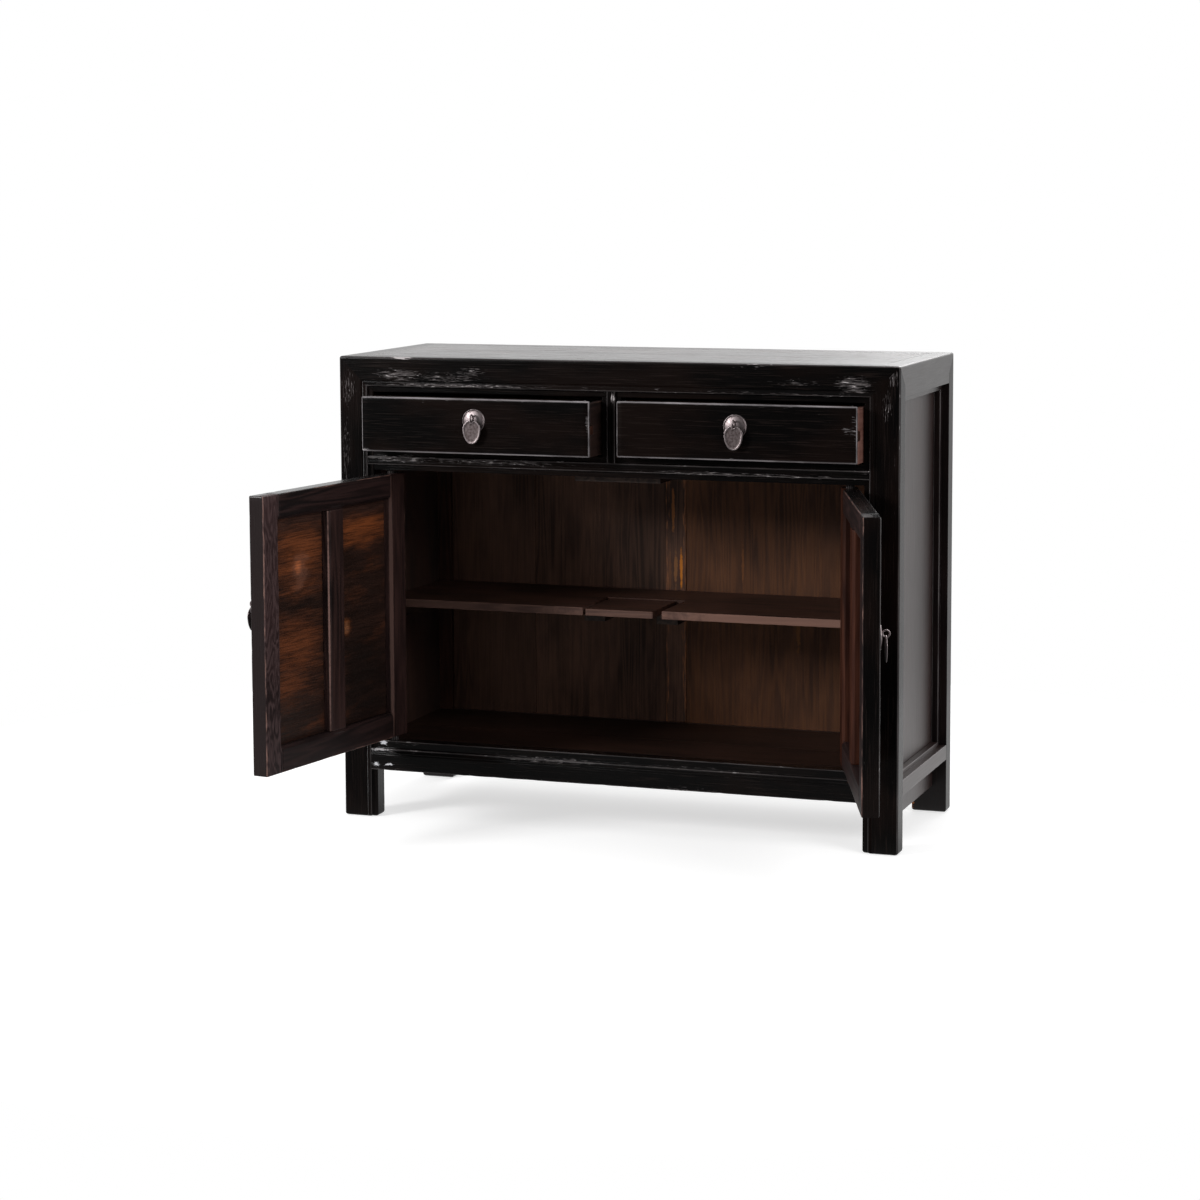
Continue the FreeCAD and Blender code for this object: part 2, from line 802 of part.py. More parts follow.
def door_middle_piece():
    """The middle stile of the right door with its two tenons."""
    x_range = (door_middle - middle_stile_width / 2, door_middle + middle_stile_width / 2)
    stile = block(x_range, (door_face, door_inside), (panel_bottom, panel_top))
    narrow = (x_range[0] + door_tenon_shoulder, x_range[1] - door_tenon_shoulder)
    reach = (panel_bottom - door_tenon_length, panel_top + door_tenon_length)
    return stile.fuse(door_tenon(narrow, reach)).removeSplitter()


def door_hinge_stile():
    """The hinge stile of the right door: rounded along its edge, with a round pivot at each end."""
    stile = block((hinge_stile_inner, door_hinge_edge), (door_face, door_inside), (door_bottom, door_top))
    stile = rounded(stile, up, lambda p: near(p.x, door_hinge_edge), hinge_edge_rounding)
    lower_end = sill_top - pivot_socket_depth + pivot_end_gap
    upper_end = drawer_rail_bottom + pivot_socket_depth - pivot_end_gap
    start = FreeCAD.Vector(pivot_x, pivot_y, lower_end)
    return stile.fuse(rod(start, up, pivot_radius, upper_end - lower_end)).removeSplitter()


def door_free_stile():
    """The free stile of the right door."""
    stile = block((door_free_edge, free_stile_inner), (door_face, door_inside), (door_bottom, door_top))
    return rounded(stile, up, lambda p: near(p.x, door_free_edge), soft_edge)


def door_pieces():
    """All the wood of the right door, shut, by name."""
    lower_rail = door_rail_piece(door_bottom, panel_bottom)
    upper_rail = door_rail_piece(panel_top, door_top)
    middle_stile = door_middle_piece()
    hinge_stile = door_hinge_stile().cut(lower_rail).cut(upper_rail)
    free_stile = door_free_stile().cut(lower_rail).cut(upper_rail)
    lower_rail = lower_rail.cut(middle_stile)
    upper_rail = upper_rail.cut(middle_stile)
    pieces = {
        "hinge_stile": hinge_stile,
        "free_stile": free_stile,
        "middle_stile": middle_stile,
        "lower_rail": lower_rail,
        "upper_rail": upper_rail,
    }
    for name in pieces:
        for cutter in door_cutters():
            pieces[name] = pieces[name].cut(cutter)
        pieces[name] = pieces[name].removeSplitter()
    pieces["panels"] = Part.makeCompound(door_panel_boards(0))
    return pieces


def pull_plate(place):
    """A round domed plate with a raised rim and its eye, its back on a plane that faces -Y."""
    hub = FreeCAD.Vector(0, 0, 0)
    edge = FreeCAD.Vector(plate_radius, 0, 0)
    crest = FreeCAD.Vector(plate_radius - plate_rim / 2, -plate_rim_height, 0)
    foot = FreeCAD.Vector(plate_radius - plate_rim, -plate_rim_foot, 0)
    swell = plate_rim_foot + (plate_height - plate_rim_foot) * dome_swell_share
    shoulder = FreeCAD.Vector((plate_radius - plate_rim) / 2, -swell, 0)
    top = FreeCAD.Vector(0, -plate_height, 0)
    lines = [
        Part.LineSegment(hub, edge).toShape(),
        Part.Arc(edge, crest, foot).toShape(),
        Part.Arc(foot, shoulder, top).toShape(),
        Part.LineSegment(top, hub).toShape(),
    ]
    full_turn = 360
    dome = Part.Face(Part.Wire(lines)).revolve(hub, deep, full_turn)
    eye = Part.makeTorus(eye_radius, eye_wire, FreeCAD.Vector(0, -eye_reach, eye_rise), across)
    plate = dome.fuse(eye).removeSplitter()
    plate.translate(place)
    return plate


leaf_hole_height = eye_rise - eye_radius + eye_wire + leaf_hanging_gap - leaf_hole
leaf_top = leaf_hole_height + leaf_above_hole


def leaf_outline(inset):
    """The egg-shaped outline of the hanging leaf."""
    top = leaf_top - inset
    length = leaf_length - 2 * inset
    half = leaf_width / 2 - inset
    right = []
    for width_share, drop_share in zip(leaf_half_width_shares, leaf_drop_shares):
        right.append(FreeCAD.Vector(half * width_share, 0, top - length * drop_share))
    left = [FreeCAD.Vector(-point.x, 0, point.z) for point in reversed(right)]
    points = [FreeCAD.Vector(0, 0, top)] + right + [FreeCAD.Vector(0, 0, top - length)] + left
    curve = Part.BSplineCurve()
    curve.interpolate(points, PeriodicFlag=True)
    return Part.Face(Part.Wire(curve.toShape()))


def pull_leaf(place):
    """The leaf that swings on the eye, a thin plate with a raised rim."""
    leaf = leaf_outline(0).extrude(FreeCAD.Vector(0, leaf_thickness, 0))
    dish = leaf_outline(leaf_rim).extrude(FreeCAD.Vector(0, leaf_dish, 0))
    collar_bottom = leaf_hole_height - leaf_above_hole
    collar = block((-leaf_width, leaf_width), (0, leaf_thickness), (collar_bottom, leaf_top))
    hole = rod(FreeCAD.Vector(0, 0, leaf_hole_height), deep, leaf_hole, leaf_thickness)
    leaf = leaf.cut(dish.cut(collar)).cut(hole)
    leaf.translate(FreeCAD.Vector(0, -eye_reach - leaf_thickness / 2, 0))
    leaf.translate(place)
    return leaf


def add_drawer(pieces, side, out):
    """Adds one drawer with its pull, drawn out to where it rests."""
    name = "left" if side < 0 else "right"
    wood = {
        "front": drawer_front(),
        "sides": drawer_sides(),
        "back": drawer_back(),
        "bottom": drawer_bottom_room(),
    }
    if side < 0:
        wood = {key: mirrored(shape) for key, shape in wood.items()}
    for key, shape in wood.items():
        pieces[name + "_drawer_" + key] = shape
    pull_height = (drawer_bottom + drawer_top) / 2 + drawer_pull_rise
    place = FreeCAD.Vector(side * drawer_centre, drawer_face, pull_height)
    pieces[name + "_drawer_pull_plate"] = pull_plate(place)
    pieces[name + "_drawer_pull_leaf"] = pull_leaf(place)
    for key in pieces:
        if key.startswith(name + "_drawer"):
            pieces[key].translate(FreeCAD.Vector(0, -out, 0))
    return place.add(FreeCAD.Vector(0, -out, 0))


def add_door(pieces, side, angle):
    """Adds one door with its pull, turned open to where it rests."""
    name = "left" if side < 0 else "right"
    wood = door_pieces()
    if side < 0:
        wood = {key: mirrored(shape) for key, shape in wood.items()}
    for key, shape in wood.items():
        pieces[name + "_door_" + key] = shape
    pull_height = (door_bottom + door_top) / 2 + door_pull_rise
    pull_x = side * (door_free_edge + free_stile_width / 2)
    place = FreeCAD.Vector(pull_x, door_face, pull_height)
    pieces[name + "_door_pull_plate"] = pull_plate(place)
    pieces[name + "_door_pull_leaf"] = pull_leaf(place)
    pivot = FreeCAD.Vector(side * pivot_x, pivot_y, 0)
    turn = side * angle
    for key in pieces:
        if key.startswith(name + "_door_"):
            pieces[key] = turned(pieces[key], pivot, turn)
    swing = FreeCAD.Rotation(up, turn)
    return pivot.add(swing.multVec(place.sub(pivot)))


def turned(shape, pivot, angle):
    """A piece turned about an upright line."""
    copy = shape.copy()
    copy.rotate(pivot, up, angle)
    return copy


def case_pieces():
    """All the fixed pieces of the case, by name."""
    front_right = post(True, right_panel_bottom)
    front_left = mirrored(post(True, side_rail_bottom))
    back_right = post(False, right_panel_bottom)
    back_left = mirrored(post(False, side_rail_bottom))
    half_seam = shelf_seam / 2
    low_reach = panel_inner - joint_gap
    right_start = shelf_middle_right + shelf_notch
    return {
        "post_front_left": front_left,
        "post_front_right": front_right,
        "post_back_left": back_left,
        "post_back_right": back_right,
        "top_rail_front": top_front_rail(),
        "top_rail_back": top_back_rail(),
        "top_rail_left": mirrored(top_side_rail()),
        "top_rail_right": top_side_rail(),
        "top_boards": top_boards(),
        "top_battens": top_battens(),
        "drawer_rail": drawer_rail(),
        "drawer_divider": drawer_divider(),
        "lower_rail_front": lower_front_rail(),
        "lower_rail_back": lower_back_rail(),
        "lower_rail_left": mirrored(lower_side_rail()),
        "lower_rail_right": lower_side_rail(),
        "side_panel_left": mirrored(side_panel(side_rail_bottom)),
        "side_panel_right": side_panel(right_panel_bottom),
        "back_stile": back_stile(),
        "back_panel_left": back_panel(True),
        "back_panel_right": back_panel(False),
        "floor_boards": floor_boards(),
        "floor_battens": floor_battens(),
        "shelf_back_board": shelf_back_board(),
        "shelf_front_left": shelf_front_piece((-low_reach, shelf_middle_left - half_seam), shelf_thickness),
        "shelf_front_middle": shelf_front_piece(
            (shelf_middle_left + half_seam, shelf_middle_right), shelf_middle_thickness
        ),
        "shelf_front_right": shelf_front_piece((right_start, low_reach), shelf_thickness),
        "shelf_side_bearers": shelf_side_bearers(),
        "shelf_cleats": shelf_cleats(),
        "back_drawer_rail": back_drawer_rail(),
        "middle_runner": middle_runner(),
        "side_runners": side_runners(),
    }


pieces = case_pieces()
left_drawer_pull = add_drawer(pieces, -1, left_drawer_out)
right_drawer_pull = add_drawer(pieces, 1, right_drawer_out)
left_door_pull = add_door(pieces, -1, left_door_angle)
right_door_pull = add_door(pieces, 1, right_door_angle)

whole = Part.makeCompound(list(pieces.values())).BoundBox
shift = FreeCAD.Vector(-whole.Center.x, -whole.Center.y, 0)
print("shift", shift.x, shift.y, "envelope", whole.XLength, whole.YLength, whole.ZLength)
print("pulls", left_drawer_pull, right_drawer_pull, left_door_pull, right_door_pull)

for name, shape in pieces.items():
    placed = shape.copy()
    placed.translate(shift)
    placed.exportStep(os.path.join("parts", name + ".step"))
    print(name, len(placed.Solids), placed.isValid(), round(placed.Volume / 1000, 1))
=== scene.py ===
import bpy
import math
import numpy as np
from functools import partial
from mathutils import Matrix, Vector
from types import SimpleNamespace


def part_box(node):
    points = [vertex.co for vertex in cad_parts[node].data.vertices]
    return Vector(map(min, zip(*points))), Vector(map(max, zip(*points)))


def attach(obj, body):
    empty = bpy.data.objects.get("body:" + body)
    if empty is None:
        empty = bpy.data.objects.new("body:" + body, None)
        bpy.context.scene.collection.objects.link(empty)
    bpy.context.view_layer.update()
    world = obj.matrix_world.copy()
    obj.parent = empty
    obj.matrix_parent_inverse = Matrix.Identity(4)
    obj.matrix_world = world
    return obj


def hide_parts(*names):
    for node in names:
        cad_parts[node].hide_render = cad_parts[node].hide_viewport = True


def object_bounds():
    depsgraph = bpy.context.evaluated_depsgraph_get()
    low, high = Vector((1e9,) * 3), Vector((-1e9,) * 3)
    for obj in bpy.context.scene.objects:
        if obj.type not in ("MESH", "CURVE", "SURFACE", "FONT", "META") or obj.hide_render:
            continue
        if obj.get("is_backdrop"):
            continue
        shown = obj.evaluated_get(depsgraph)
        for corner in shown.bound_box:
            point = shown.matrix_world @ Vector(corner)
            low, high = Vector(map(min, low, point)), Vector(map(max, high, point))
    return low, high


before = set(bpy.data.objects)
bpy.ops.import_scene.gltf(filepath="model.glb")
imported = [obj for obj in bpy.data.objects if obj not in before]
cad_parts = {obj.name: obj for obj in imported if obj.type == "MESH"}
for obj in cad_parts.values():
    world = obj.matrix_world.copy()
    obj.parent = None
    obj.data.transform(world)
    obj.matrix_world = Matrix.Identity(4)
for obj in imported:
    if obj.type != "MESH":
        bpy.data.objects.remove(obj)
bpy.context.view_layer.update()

# Everything is in metres. Pieces are shaped with the case's middle at X = 0 and its front plane at
# Y = 0, every drawer and door shut, and are then moved or turned to where the frame has them.
left_post_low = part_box("post_front_left")[0]
right_post_low, right_post_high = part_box("post_front_right")
case_middle = (left_post_low.x + right_post_high.x) / 2
case_front = right_post_low.y
half_width = (right_post_high.x - left_post_low.x) / 2
case_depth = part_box("post_back_right")[1].y - case_front
case_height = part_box("top_rail_front")[1].z

# Sections of the frame
post_width = 0.064
frame_thick = 0.036
lip = 0.010
lip_back = 0.006
bead = 0.010
bead_round = 0.0035
quirk = 0.0014
arris = 0.003
eased = 0.0012
sharp = 0.0004
play = 0.0003
post_inner = half_width - post_width
band_inner = post_inner + lip
frame_back = case_depth - frame_thick
panel_outer = half_width - 0.026
panel_inner = panel_outer - 0.012
moulding_face = half_width - 0.013
moulding = 0.012
low_moulding = 0.007
foot_round = 0.006
case_round = 0.0045
tuck = 0.001
hair = 0.0001

# Meshes and the marks of long use
near_corner = np.array([0.0015, 0.004])
near_end = 0.003
waver_depth = 0.00012
dent_step = 0.006
dent_reach = 0.002

# Heights of the frame
low_rail = (0.088, 0.128)
sill_top = 0.142
side_rail = (0.0985, 0.126)
back_rail = (0.098, 0.136)
top_rail_low = case_height - 0.054
top_lip_low = top_rail_low - lip
drawer_rail = (0.638, 0.674)
drawer_band = (0.648, 0.664)

# Panels, back boards and shelf
side_panel_y = (0.028, case_depth - 0.028)
side_panel_low = {"left": side_rail[0], "right": 0.048}
board_reach = 0.008
panel_top = top_rail_low + board_reach
top_board_thick = 0.018
floor_thick = 0.012
back_board_y = (frame_back + 0.010, frame_back + 0.022)
back_board_low = 0.128
back_boards = {"left": [(-post_inner - board_reach, -0.2862), (-0.2862, -0.0149)]}
back_boards["right"] = [(0.0097, post_inner + board_reach)]
back_board_seeds = {"left": [21, 25], "right": [22]}
back_stile_x = (-0.0226, 0.0174)
back_stile_y = (frame_back + 0.008, case_depth - 0.006)
shelf_front, shelf_split, shelf_back = 0.112, 0.250, 0.371
shelf_low, shelf_high = 0.373, 0.388

# Drawers and doors, shut
drawer_x = (0.0205, 0.4535)
drawer_y = (0.002, 0.334)
drawer_z = (0.6772, 0.7762)
drawer_front_thick = 0.020
drawer_side_thick = 0.012
drawer_lap = 0.005
drawer_round = 0.004
pin_half = 0.008
door_x = (0.0015, 0.452)
door_y = (0.006, 0.0355)
door_z = (0.151, 0.632)
door_round = 0.0025
hinge_inner = 0.401
free_inner = 0.0485
middle_x = (0.19975, 0.24975)
opening_z = (0.196, 0.587)
openings_x = [(free_inner, middle_x[0]), (middle_x[1], hinge_inner)]
door_panel_y = (0.012, 0.020)
panel_groove = 0.007
pivot = (0.428, 0.02075)
pivot_radius = 0.008
pivot_reach = 0.0145
door_angle = {"left": 98.8, "right": 109.4}
wide_chamfer = 0.005
small_chamfer = 0.003

# Pulls
plate_radius = 0.0215
plate_height = 0.0045
rim_width = 0.0026
rim_foot = 0.0012
rim_crest = 0.0020
eye_radius = 0.0056
eye_wire = 0.0014
eye_reach = 0.0106
eye_rise = 0.006
leaf_size = (0.034, 0.0435)
leaf_thick = 0.002
leaf_top = 0.0033
hole_radius = 0.0022
hole_height = -0.0003
hole_collar = 0.0036
leaf_rim = 0.0042
leaf_dish = 0.0007
leaf_slope = 0.0012
drawer_pull_z = 0.7367
door_pull_z = 0.4375


def around(count):
    """Even steps once round a circle."""
    return np.linspace(0, 2 * math.pi, count + 1)[:-1]


def placed(name, data):
    """A new object of the scene."""
    made = bpy.data.objects.new(name, data)
    bpy.context.scene.collection.objects.link(made)
    return made


def bare_tree(made):
    """The emptied node tree of a material or of the world."""
    made.use_nodes = True
    made.node_tree.nodes.clear()
    return made.node_tree


def outline(corners, gap=0.014):
    """Closed line round a cross section. Each corner (a, b, radius) is turned by the quadratic curve
    (1-s)^2 P + 2s(1-s) C + s^2 Q between the places P and Q one radius before and after the corner C,
    and the runs between are straight. Gives the points, and for each its distance along the line
    from the nearest outward corner, which is where the wood wears."""
    corners = np.array(corners, float)
    spot, radius = corners[:, :2], corners[:, 2]
    following = np.roll(spot, -1, 0)
    if np.sum(spot[:, 0] * following[:, 1] - following[:, 0] * spot[:, 1]) < 0:
        spot, radius = spot[::-1], radius[::-1]
    back = np.roll(spot, 1, 0) - spot
    ahead = np.roll(spot, -1, 0) - spot
    back_length = np.linalg.norm(back, axis=1)
    ahead_length = np.linalg.norm(ahead, axis=1)
    cut = np.minimum(radius, 0.45 * np.minimum(back_length, ahead_length))
    before = spot + back / back_length[:, None] * cut[:, None]
    after = spot + ahead / ahead_length[:, None] * cut[:, None]
    outward = back[:, 0] * ahead[:, 1] - back[:, 1] * ahead[:, 0] < 0
    line = []
    marks = []
    for k in range(len(spot)):
        s = np.linspace(0, 1, 5 if cut[k] > sharp else 3)[:, None]
        turn = (1 - s) ** 2 * before[k] + 2 * s * (1 - s) * spot[k] + s ** 2 * after[k]
        if cut[k] == 0:
            turn = turn[:1]
        marks.append(sum(len(part) for part in line) + len(turn) // 2)
        line.append(turn)
        run = before[(k + 1) % len(spot)] - after[k]
        length = np.linalg.norm(run)
        inner = np.linspace(0, length, max(1, int(round(length / gap))) + 1)
        places = np.concatenate([inner, near_corner, length - near_corner])
        places = np.unique(places[(places > sharp) & (places < length - sharp)])
        line.append(after[k] + run / max(length, 1e-9) * places[:, None])
    points = np.concatenate(line)
    steps = np.linalg.norm(np.roll(points, -1, 0) - points, axis=1)
    round_about = steps.sum()
    place = np.concatenate([[0], np.cumsum(steps)[:-1]])
    worn = place[np.array(marks)[outward & (radius > sharp)]]
    if len(worn) == 0:
        return points, np.ones(len(points))
    apart = (place[:, None] - worn[None, :] + round_about / 2) % round_about
    return points, np.abs(apart - round_about / 2).min(1)


def grid_faces(rows, columns, closed=False):
    """The faces of a grid that closes on itself across, each from four neighbours. Along, it closes
    on itself too, or else has a cap at each end."""
    row = np.arange(rows if closed else rows - 1)[:, None] * columns
    below = (row + columns) % (rows * columns)
    here = np.arange(columns)
    beside = (here + 1) % columns
    quads = np.stack([row + here, row + beside, below + beside, below + here], -1).reshape(-1, 4)
    return quads, [] if closed else [here[::-1], here + (rows - 1) * columns]


def carried(
    section, axes, start, end, step=0.012, soft=(0.0008, 0.0008), bite=0.0007, seed=0, other=None,
    within=None,
):
    """A board: a cross section carried straight along one axis. Row i is the outline at a share of the
    way from start to end, which may differ from point to point, as at a mitre. Within r of an end the
    outline shrinks towards its middle by r - sqrt(r^2 - (r-t)^2) on each side. Each point is pushed
    inwards by a slow waver up to a quarter of a millimetre deep, and at the arrises by a broken noise,
    the dents of long use. within tells from a point's place how far it lies on an inner face."""
    points, from_arris = section
    count = len(points)
    start = np.broadcast_to(np.asarray(start, float), (count,))
    end = np.broadcast_to(np.asarray(end, float), (count,))
    length = end.max() - start.min()
    rows = [np.linspace(0, length, max(3, int(length / step)) + 1), [near_end, length - near_end]]
    for reach, from_end in ((soft[0], False), (soft[1], True)):
        if reach > 0:
            near = reach * (1 - np.cos(np.linspace(0, 1, 5) * math.pi / 2))
            rows.append(length - near if from_end else near)
    place = np.unique(np.round(np.concatenate(rows), 5))
    place = place[np.concatenate([[True], np.diff(place) > play])]
    place[-1] = length
    along = start + (end - start) * (place / length)[:, None]
    ahead = np.roll(points, -1, 0) - np.roll(points, 1, 0)
    ahead /= np.maximum(np.linalg.norm(ahead, axis=1), 1e-9)[:, None]
    outward = np.stack([ahead[:, 1], -ahead[:, 0]], 1)
    if other is None:
        shape = np.broadcast_to(points, (len(place), count, 2))
    else:
        target, amount = other
        weight = amount(along)[..., None]
        shape = points * (1 - weight) + target * weight
    centre = (points.max(0) + points.min(0)) / 2
    half = (points.max(0) - points.min(0)) / 2
    for reach, gone in ((soft[0], place), (soft[1], length - place)):
        if reach > 0:
            short = np.clip(reach - gone, 0, reach)
            drawn = reach - np.sqrt(reach ** 2 - short ** 2)
            shape = centre + (shape - centre) * (1 - drawn[:, None, None] / half)
    v = points.sum(1)
    waver = np.sin(9 * along + 1.7 * seed) + np.sin(23 * along + 31 * v + 2.3 * seed)
    waver = waver + np.sin(57 * along - 19 * v + seed)
    push = waver_depth * (1 + waver / 3)
    broken = np.random.default_rng(seed + 11).random(int(length / dent_step) + 8)
    broken_at = np.arange(len(broken)) * dent_step + start.min() - 0.01 + 0.9 * v.min()
    dents = np.interp(along + 0.9 * v, broken_at, broken)
    push += bite * dents ** 4 * np.exp(-from_arris / dent_reach)
    shape = shape - outward * push[..., None]
    solid = np.zeros((len(place), count, 3))
    solid[..., axes[0]] = along
    solid[..., axes[1:]] = shape
    grain = np.concatenate([along[..., None], shape], -1)
    grain = grain + np.array([1.37, 0.71, 0.43]) * (seed + 1)
    tip = np.minimum(along - start, end - along)
    tone = np.full_like(tip, (seed * 0.618) % 1)
    edge = np.stack([np.broadcast_to(from_arris, tip.shape), tip, tone], -1)
    spot, grain, edge = (values.reshape(-1, 3) for values in (solid, grain, edge))
    inside = np.zeros(len(spot)) if within is None else np.clip(within(spot), 0, 1)
    return spot, *grid_faces(len(place), count), grain, edge, spot.copy(), inside


def board(a_range, b_range, axes, start, end, radius=eased, gap=0.014, **more):
    """A plain board, all four arrises eased by the same radius."""
    (a0, a1), (b0, b1) = a_range, b_range
    section = outline([(a0, b0, radius), (a1, b0, radius), (a1, b1, radius), (a0, b1, radius)], gap)
    return carried(section, axes, start, end, **more)


along_x = (0, 1, 2)
along_y = (1, 2, 0)
along_z = (2, 0, 1)


def beyond(axis, limit, fade):
    """Tells how far a place lies past a limit along one axis, (p - limit) / fade. A negative fade
    looks the other way."""
    return lambda spot: (spot[:, axis] - limit) / fade


def sided(side, shells):
    """Boards of the right side, or the same on the left: X changes its sign in the places and the
    spots, and each face runs the other way."""
    if side == "right":
        return shells
    flip = np.array([-1, 1, 1])
    return [
        (points * flip, quads[:, ::-1], [cap[::-1] for cap in caps], grain + 0.37, edge, spot * flip, inside)
        for points, quads, caps, grain, edge, spot, inside in shells
    ]


def moved(shell, offset):
    """The board carried by an offset."""
    return (shell[0] + np.array(offset), *shell[1:])


def rounded_within(shell, low, high, radius):
    """The board kept inside a box with rounded edges and corners: with q the nearest place in the box
    shrunk by r, a point further than r from q comes back to q + r (p - q) / |p - q|."""
    nearest = np.clip(shell[0], np.array(low) + radius, np.array(high) - radius)
    away = shell[0] - nearest
    reach = np.maximum(np.linalg.norm(away, axis=1), 1e-9)
    return (nearest + away * np.minimum(1, radius / reach)[:, None], *shell[1:])


def swung(shell, side):
    """The board turned about the door's upright pivot line by the door's angle: x' = x cos - y sin,
    y' = x sin + y cos, measured from the pivot."""
    way = 1 if side == "right" else -1
    turn = math.radians(way * door_angle[side])
    hub = np.array([way * pivot[0], pivot[1], 0])
    cos, sin = math.cos(turn), math.sin(turn)
    turning = np.array([[cos, -sin, 0], [sin, cos, 0], [0, 0, 1]])
    return ((shell[0] - hub) @ turning.T + hub, *shell[1:])


def piece(name, shells, paint, body="case"):
    """Joins shells into one mesh object, with its grain, edge, spot and inside attributes, riding on
    its body in place of the frame's node of the same name. The rims of the caps are sharp edges."""
    if body == "case":
        low, high = (-half_width, 0, 0), (half_width, case_depth, case_height)
        shells = [rounded_within(shell, low, high, case_round) for shell in shells]
    points = np.concatenate([shell[0] for shell in shells]) + np.array([case_middle, case_front, 0])
    faces = []
    smooth = []
    ring = np.zeros(len(points), int)
    first = 0
    for shell in shells:
        quads = (shell[1] + first).tolist()
        caps = [(cap + first).tolist() for cap in shell[2]]
        for cap in caps:
            ring[cap] = ring.max() + 1
        faces += quads + caps
        smooth += [True] * len(quads) + [False] * len(caps)
        first += len(shell[0])
    mesh = bpy.data.meshes.new(name)
    mesh.from_pydata(points.tolist(), [], faces)
    mesh.polygons.foreach_set("use_smooth", smooth)
    edges = np.zeros(len(mesh.edges) * 2, int)
    mesh.edges.foreach_get("vertices", edges)
    one_end, other_end = ring[edges.reshape(-1, 2)].T
    crisp = (one_end > 0) & (one_end == other_end)
    mesh.attributes.new("sharp_edge", "BOOLEAN", "EDGE").data.foreach_set("value", crisp)
    for part, label in enumerate(("grain", "edge", "spot", "inside"), 3):
        values = np.concatenate([shell[part] for shell in shells]).astype(np.float32)
        kind, key = ("FLOAT_VECTOR", "vector") if values.ndim > 1 else ("FLOAT", "value")
        mesh.attributes.new(label, kind, "POINT").data.foreach_set(key, values.ravel())
    mesh.materials.append(finishes[paint])
    mesh.update()
    made = placed(name, mesh)
    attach(made, body)
    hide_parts(name)
    if made.name != name:
        made.name = name + "_board"


# Finishes. Each is worked out from the board's own grain attribute (X along the grain), its edge
# attribute (distance from the nearest arris, distance from the end, and a tone of its own), its spot
# in the shut case and its inside attribute. Colours are written 0 to 255.
finishes = {}


class Field:
    """One output of a node: a number, a colour or a place. A sum, a difference, a product or the most
    of two fields is one Math node."""

    def __init__(self, made, output=0):
        self.socket = made.outputs[output]
        self.tree = self.socket.id_data

    def step(self, operation, other):
        return Field(node(self.tree, "ShaderNodeMath", {0: self, 1: other}, operation=operation))

    def __add__(self, other):
        return self.step("ADD", other)

    def __sub__(self, other):
        return self.step("SUBTRACT", other)

    def __mul__(self, other):
        return self.step("MULTIPLY", other)

    def most(self, other):
        return self.step("MAXIMUM", other)


def node(tree, kind, inputs=(), **settings):
    """One node with its settings, its inputs given as values or as fields."""
    made = tree.nodes.new(kind)
    for key, value in settings.items():
        setattr(made, key, value)
    for key, value in dict(inputs).items():
        if isinstance(value, Field):
            tree.links.new(value.socket, made.inputs[key])
        else:
            made.inputs[key].default_value = value
    return made


def bands_of(field, times):
    """Even bands: the field times a number, folded to and fro between 0 and one half."""
    return (field * times).step("PINGPONG", 0.5)


def stretched(place, factors, offset=(0, 0, 0)):
    """The place scaled and moved, so that a pattern runs long in one direction."""
    inputs = {"Vector": place, "Scale": factors, "Location": offset}
    return Field(node(place.tree, "ShaderNodeMapping", inputs))


def noise(place, factors, detail=3.0, roughness=0.6, distortion=0.0, offset=(0, 0, 0)):
    """Fractal noise at a stretched place."""
    inputs = {"Vector": stretched(place, factors, offset), "Scale": 1.0}
    inputs |= {"Detail": detail, "Roughness": roughness, "Distortion": distortion}
    return Field(node(place.tree, "ShaderNodeTexNoise", inputs), "Fac")


def ramp(field, low, high, from_value=0.0, to_value=1.0):
    """A smooth step: from_value below low, to_value above high."""
    inputs = {"Value": field, "From Min": low, "From Max": high, "To Min": from_value, "To Max": to_value}
    return Field(node(field.tree, "ShaderNodeMapRange", inputs, interpolation_type="SMOOTHSTEP"))


def as_light(paint):
    """A colour written as it shows on a screen, 0 to 255, turned into light. A field stays as it is."""
    if isinstance(paint, Field):
        return paint
    share = np.array(paint) / 255
    light = np.where(share <= 0.04045, share / 12.92, ((share + 0.055) / 1.055) ** 2.4)
    return (*light.tolist(), 1.0)


def painted(share, first, second):
    """A colour between two colours."""
    inputs = {0: share, 6: as_light(first), 7: as_light(second)}
    return Field(node(share.tree, "ShaderNodeMix", inputs, data_type="RGBA"), 2)


def between(share, first, second):
    """A number between two numbers."""
    return Field(node(share.tree, "ShaderNodeMix", {0: share, 2: first, 3: second}))


def board_places(tree):
    """What a board's attributes say: the grain place, the spot in the shut case, how far a place is
    on an inner face, the distances from the arris and from the end, and the board's own tone."""
    grain, spot, inside, edge = (
        Field(node(tree, "ShaderNodeAttribute", attribute_name=name), "Fac" if name == "inside" else "Vector")
        for name in ("grain", "spot", "inside", "edge")
    )
    parts = node(tree, "ShaderNodeSeparateXYZ", {0: edge})
    arris_away, tip_away, tone = (Field(parts, k) for k in range(3))
    return SimpleNamespace(grain=grain, spot=spot, inside=inside, arris=arris_away, tip=tip_away, tone=tone)


def distance(place, centre, size):
    """How far a place is from a centre, 1 on the ellipsoid of that size."""
    centre, size = np.array(centre), np.array(size)
    shifted = stretched(place, tuple(1 / size), tuple(-centre / size))
    return Field(node(place.tree, "ShaderNodeVectorMath", {0: shifted}, operation="LENGTH"), "Value")


def patch(place, centre, size, ragged=0.5, fineness=(90, 90, 90), fade=(0.55, 1.0)):
    """A ragged patch round a spot: one within the ellipsoid of that size, fading to none."""
    away = distance(place, centre, size) + (noise(place, fineness, 4.0) - 0.5) * (ragged * 3)
    return ramp(away, *fade, 1.0, 0.0)


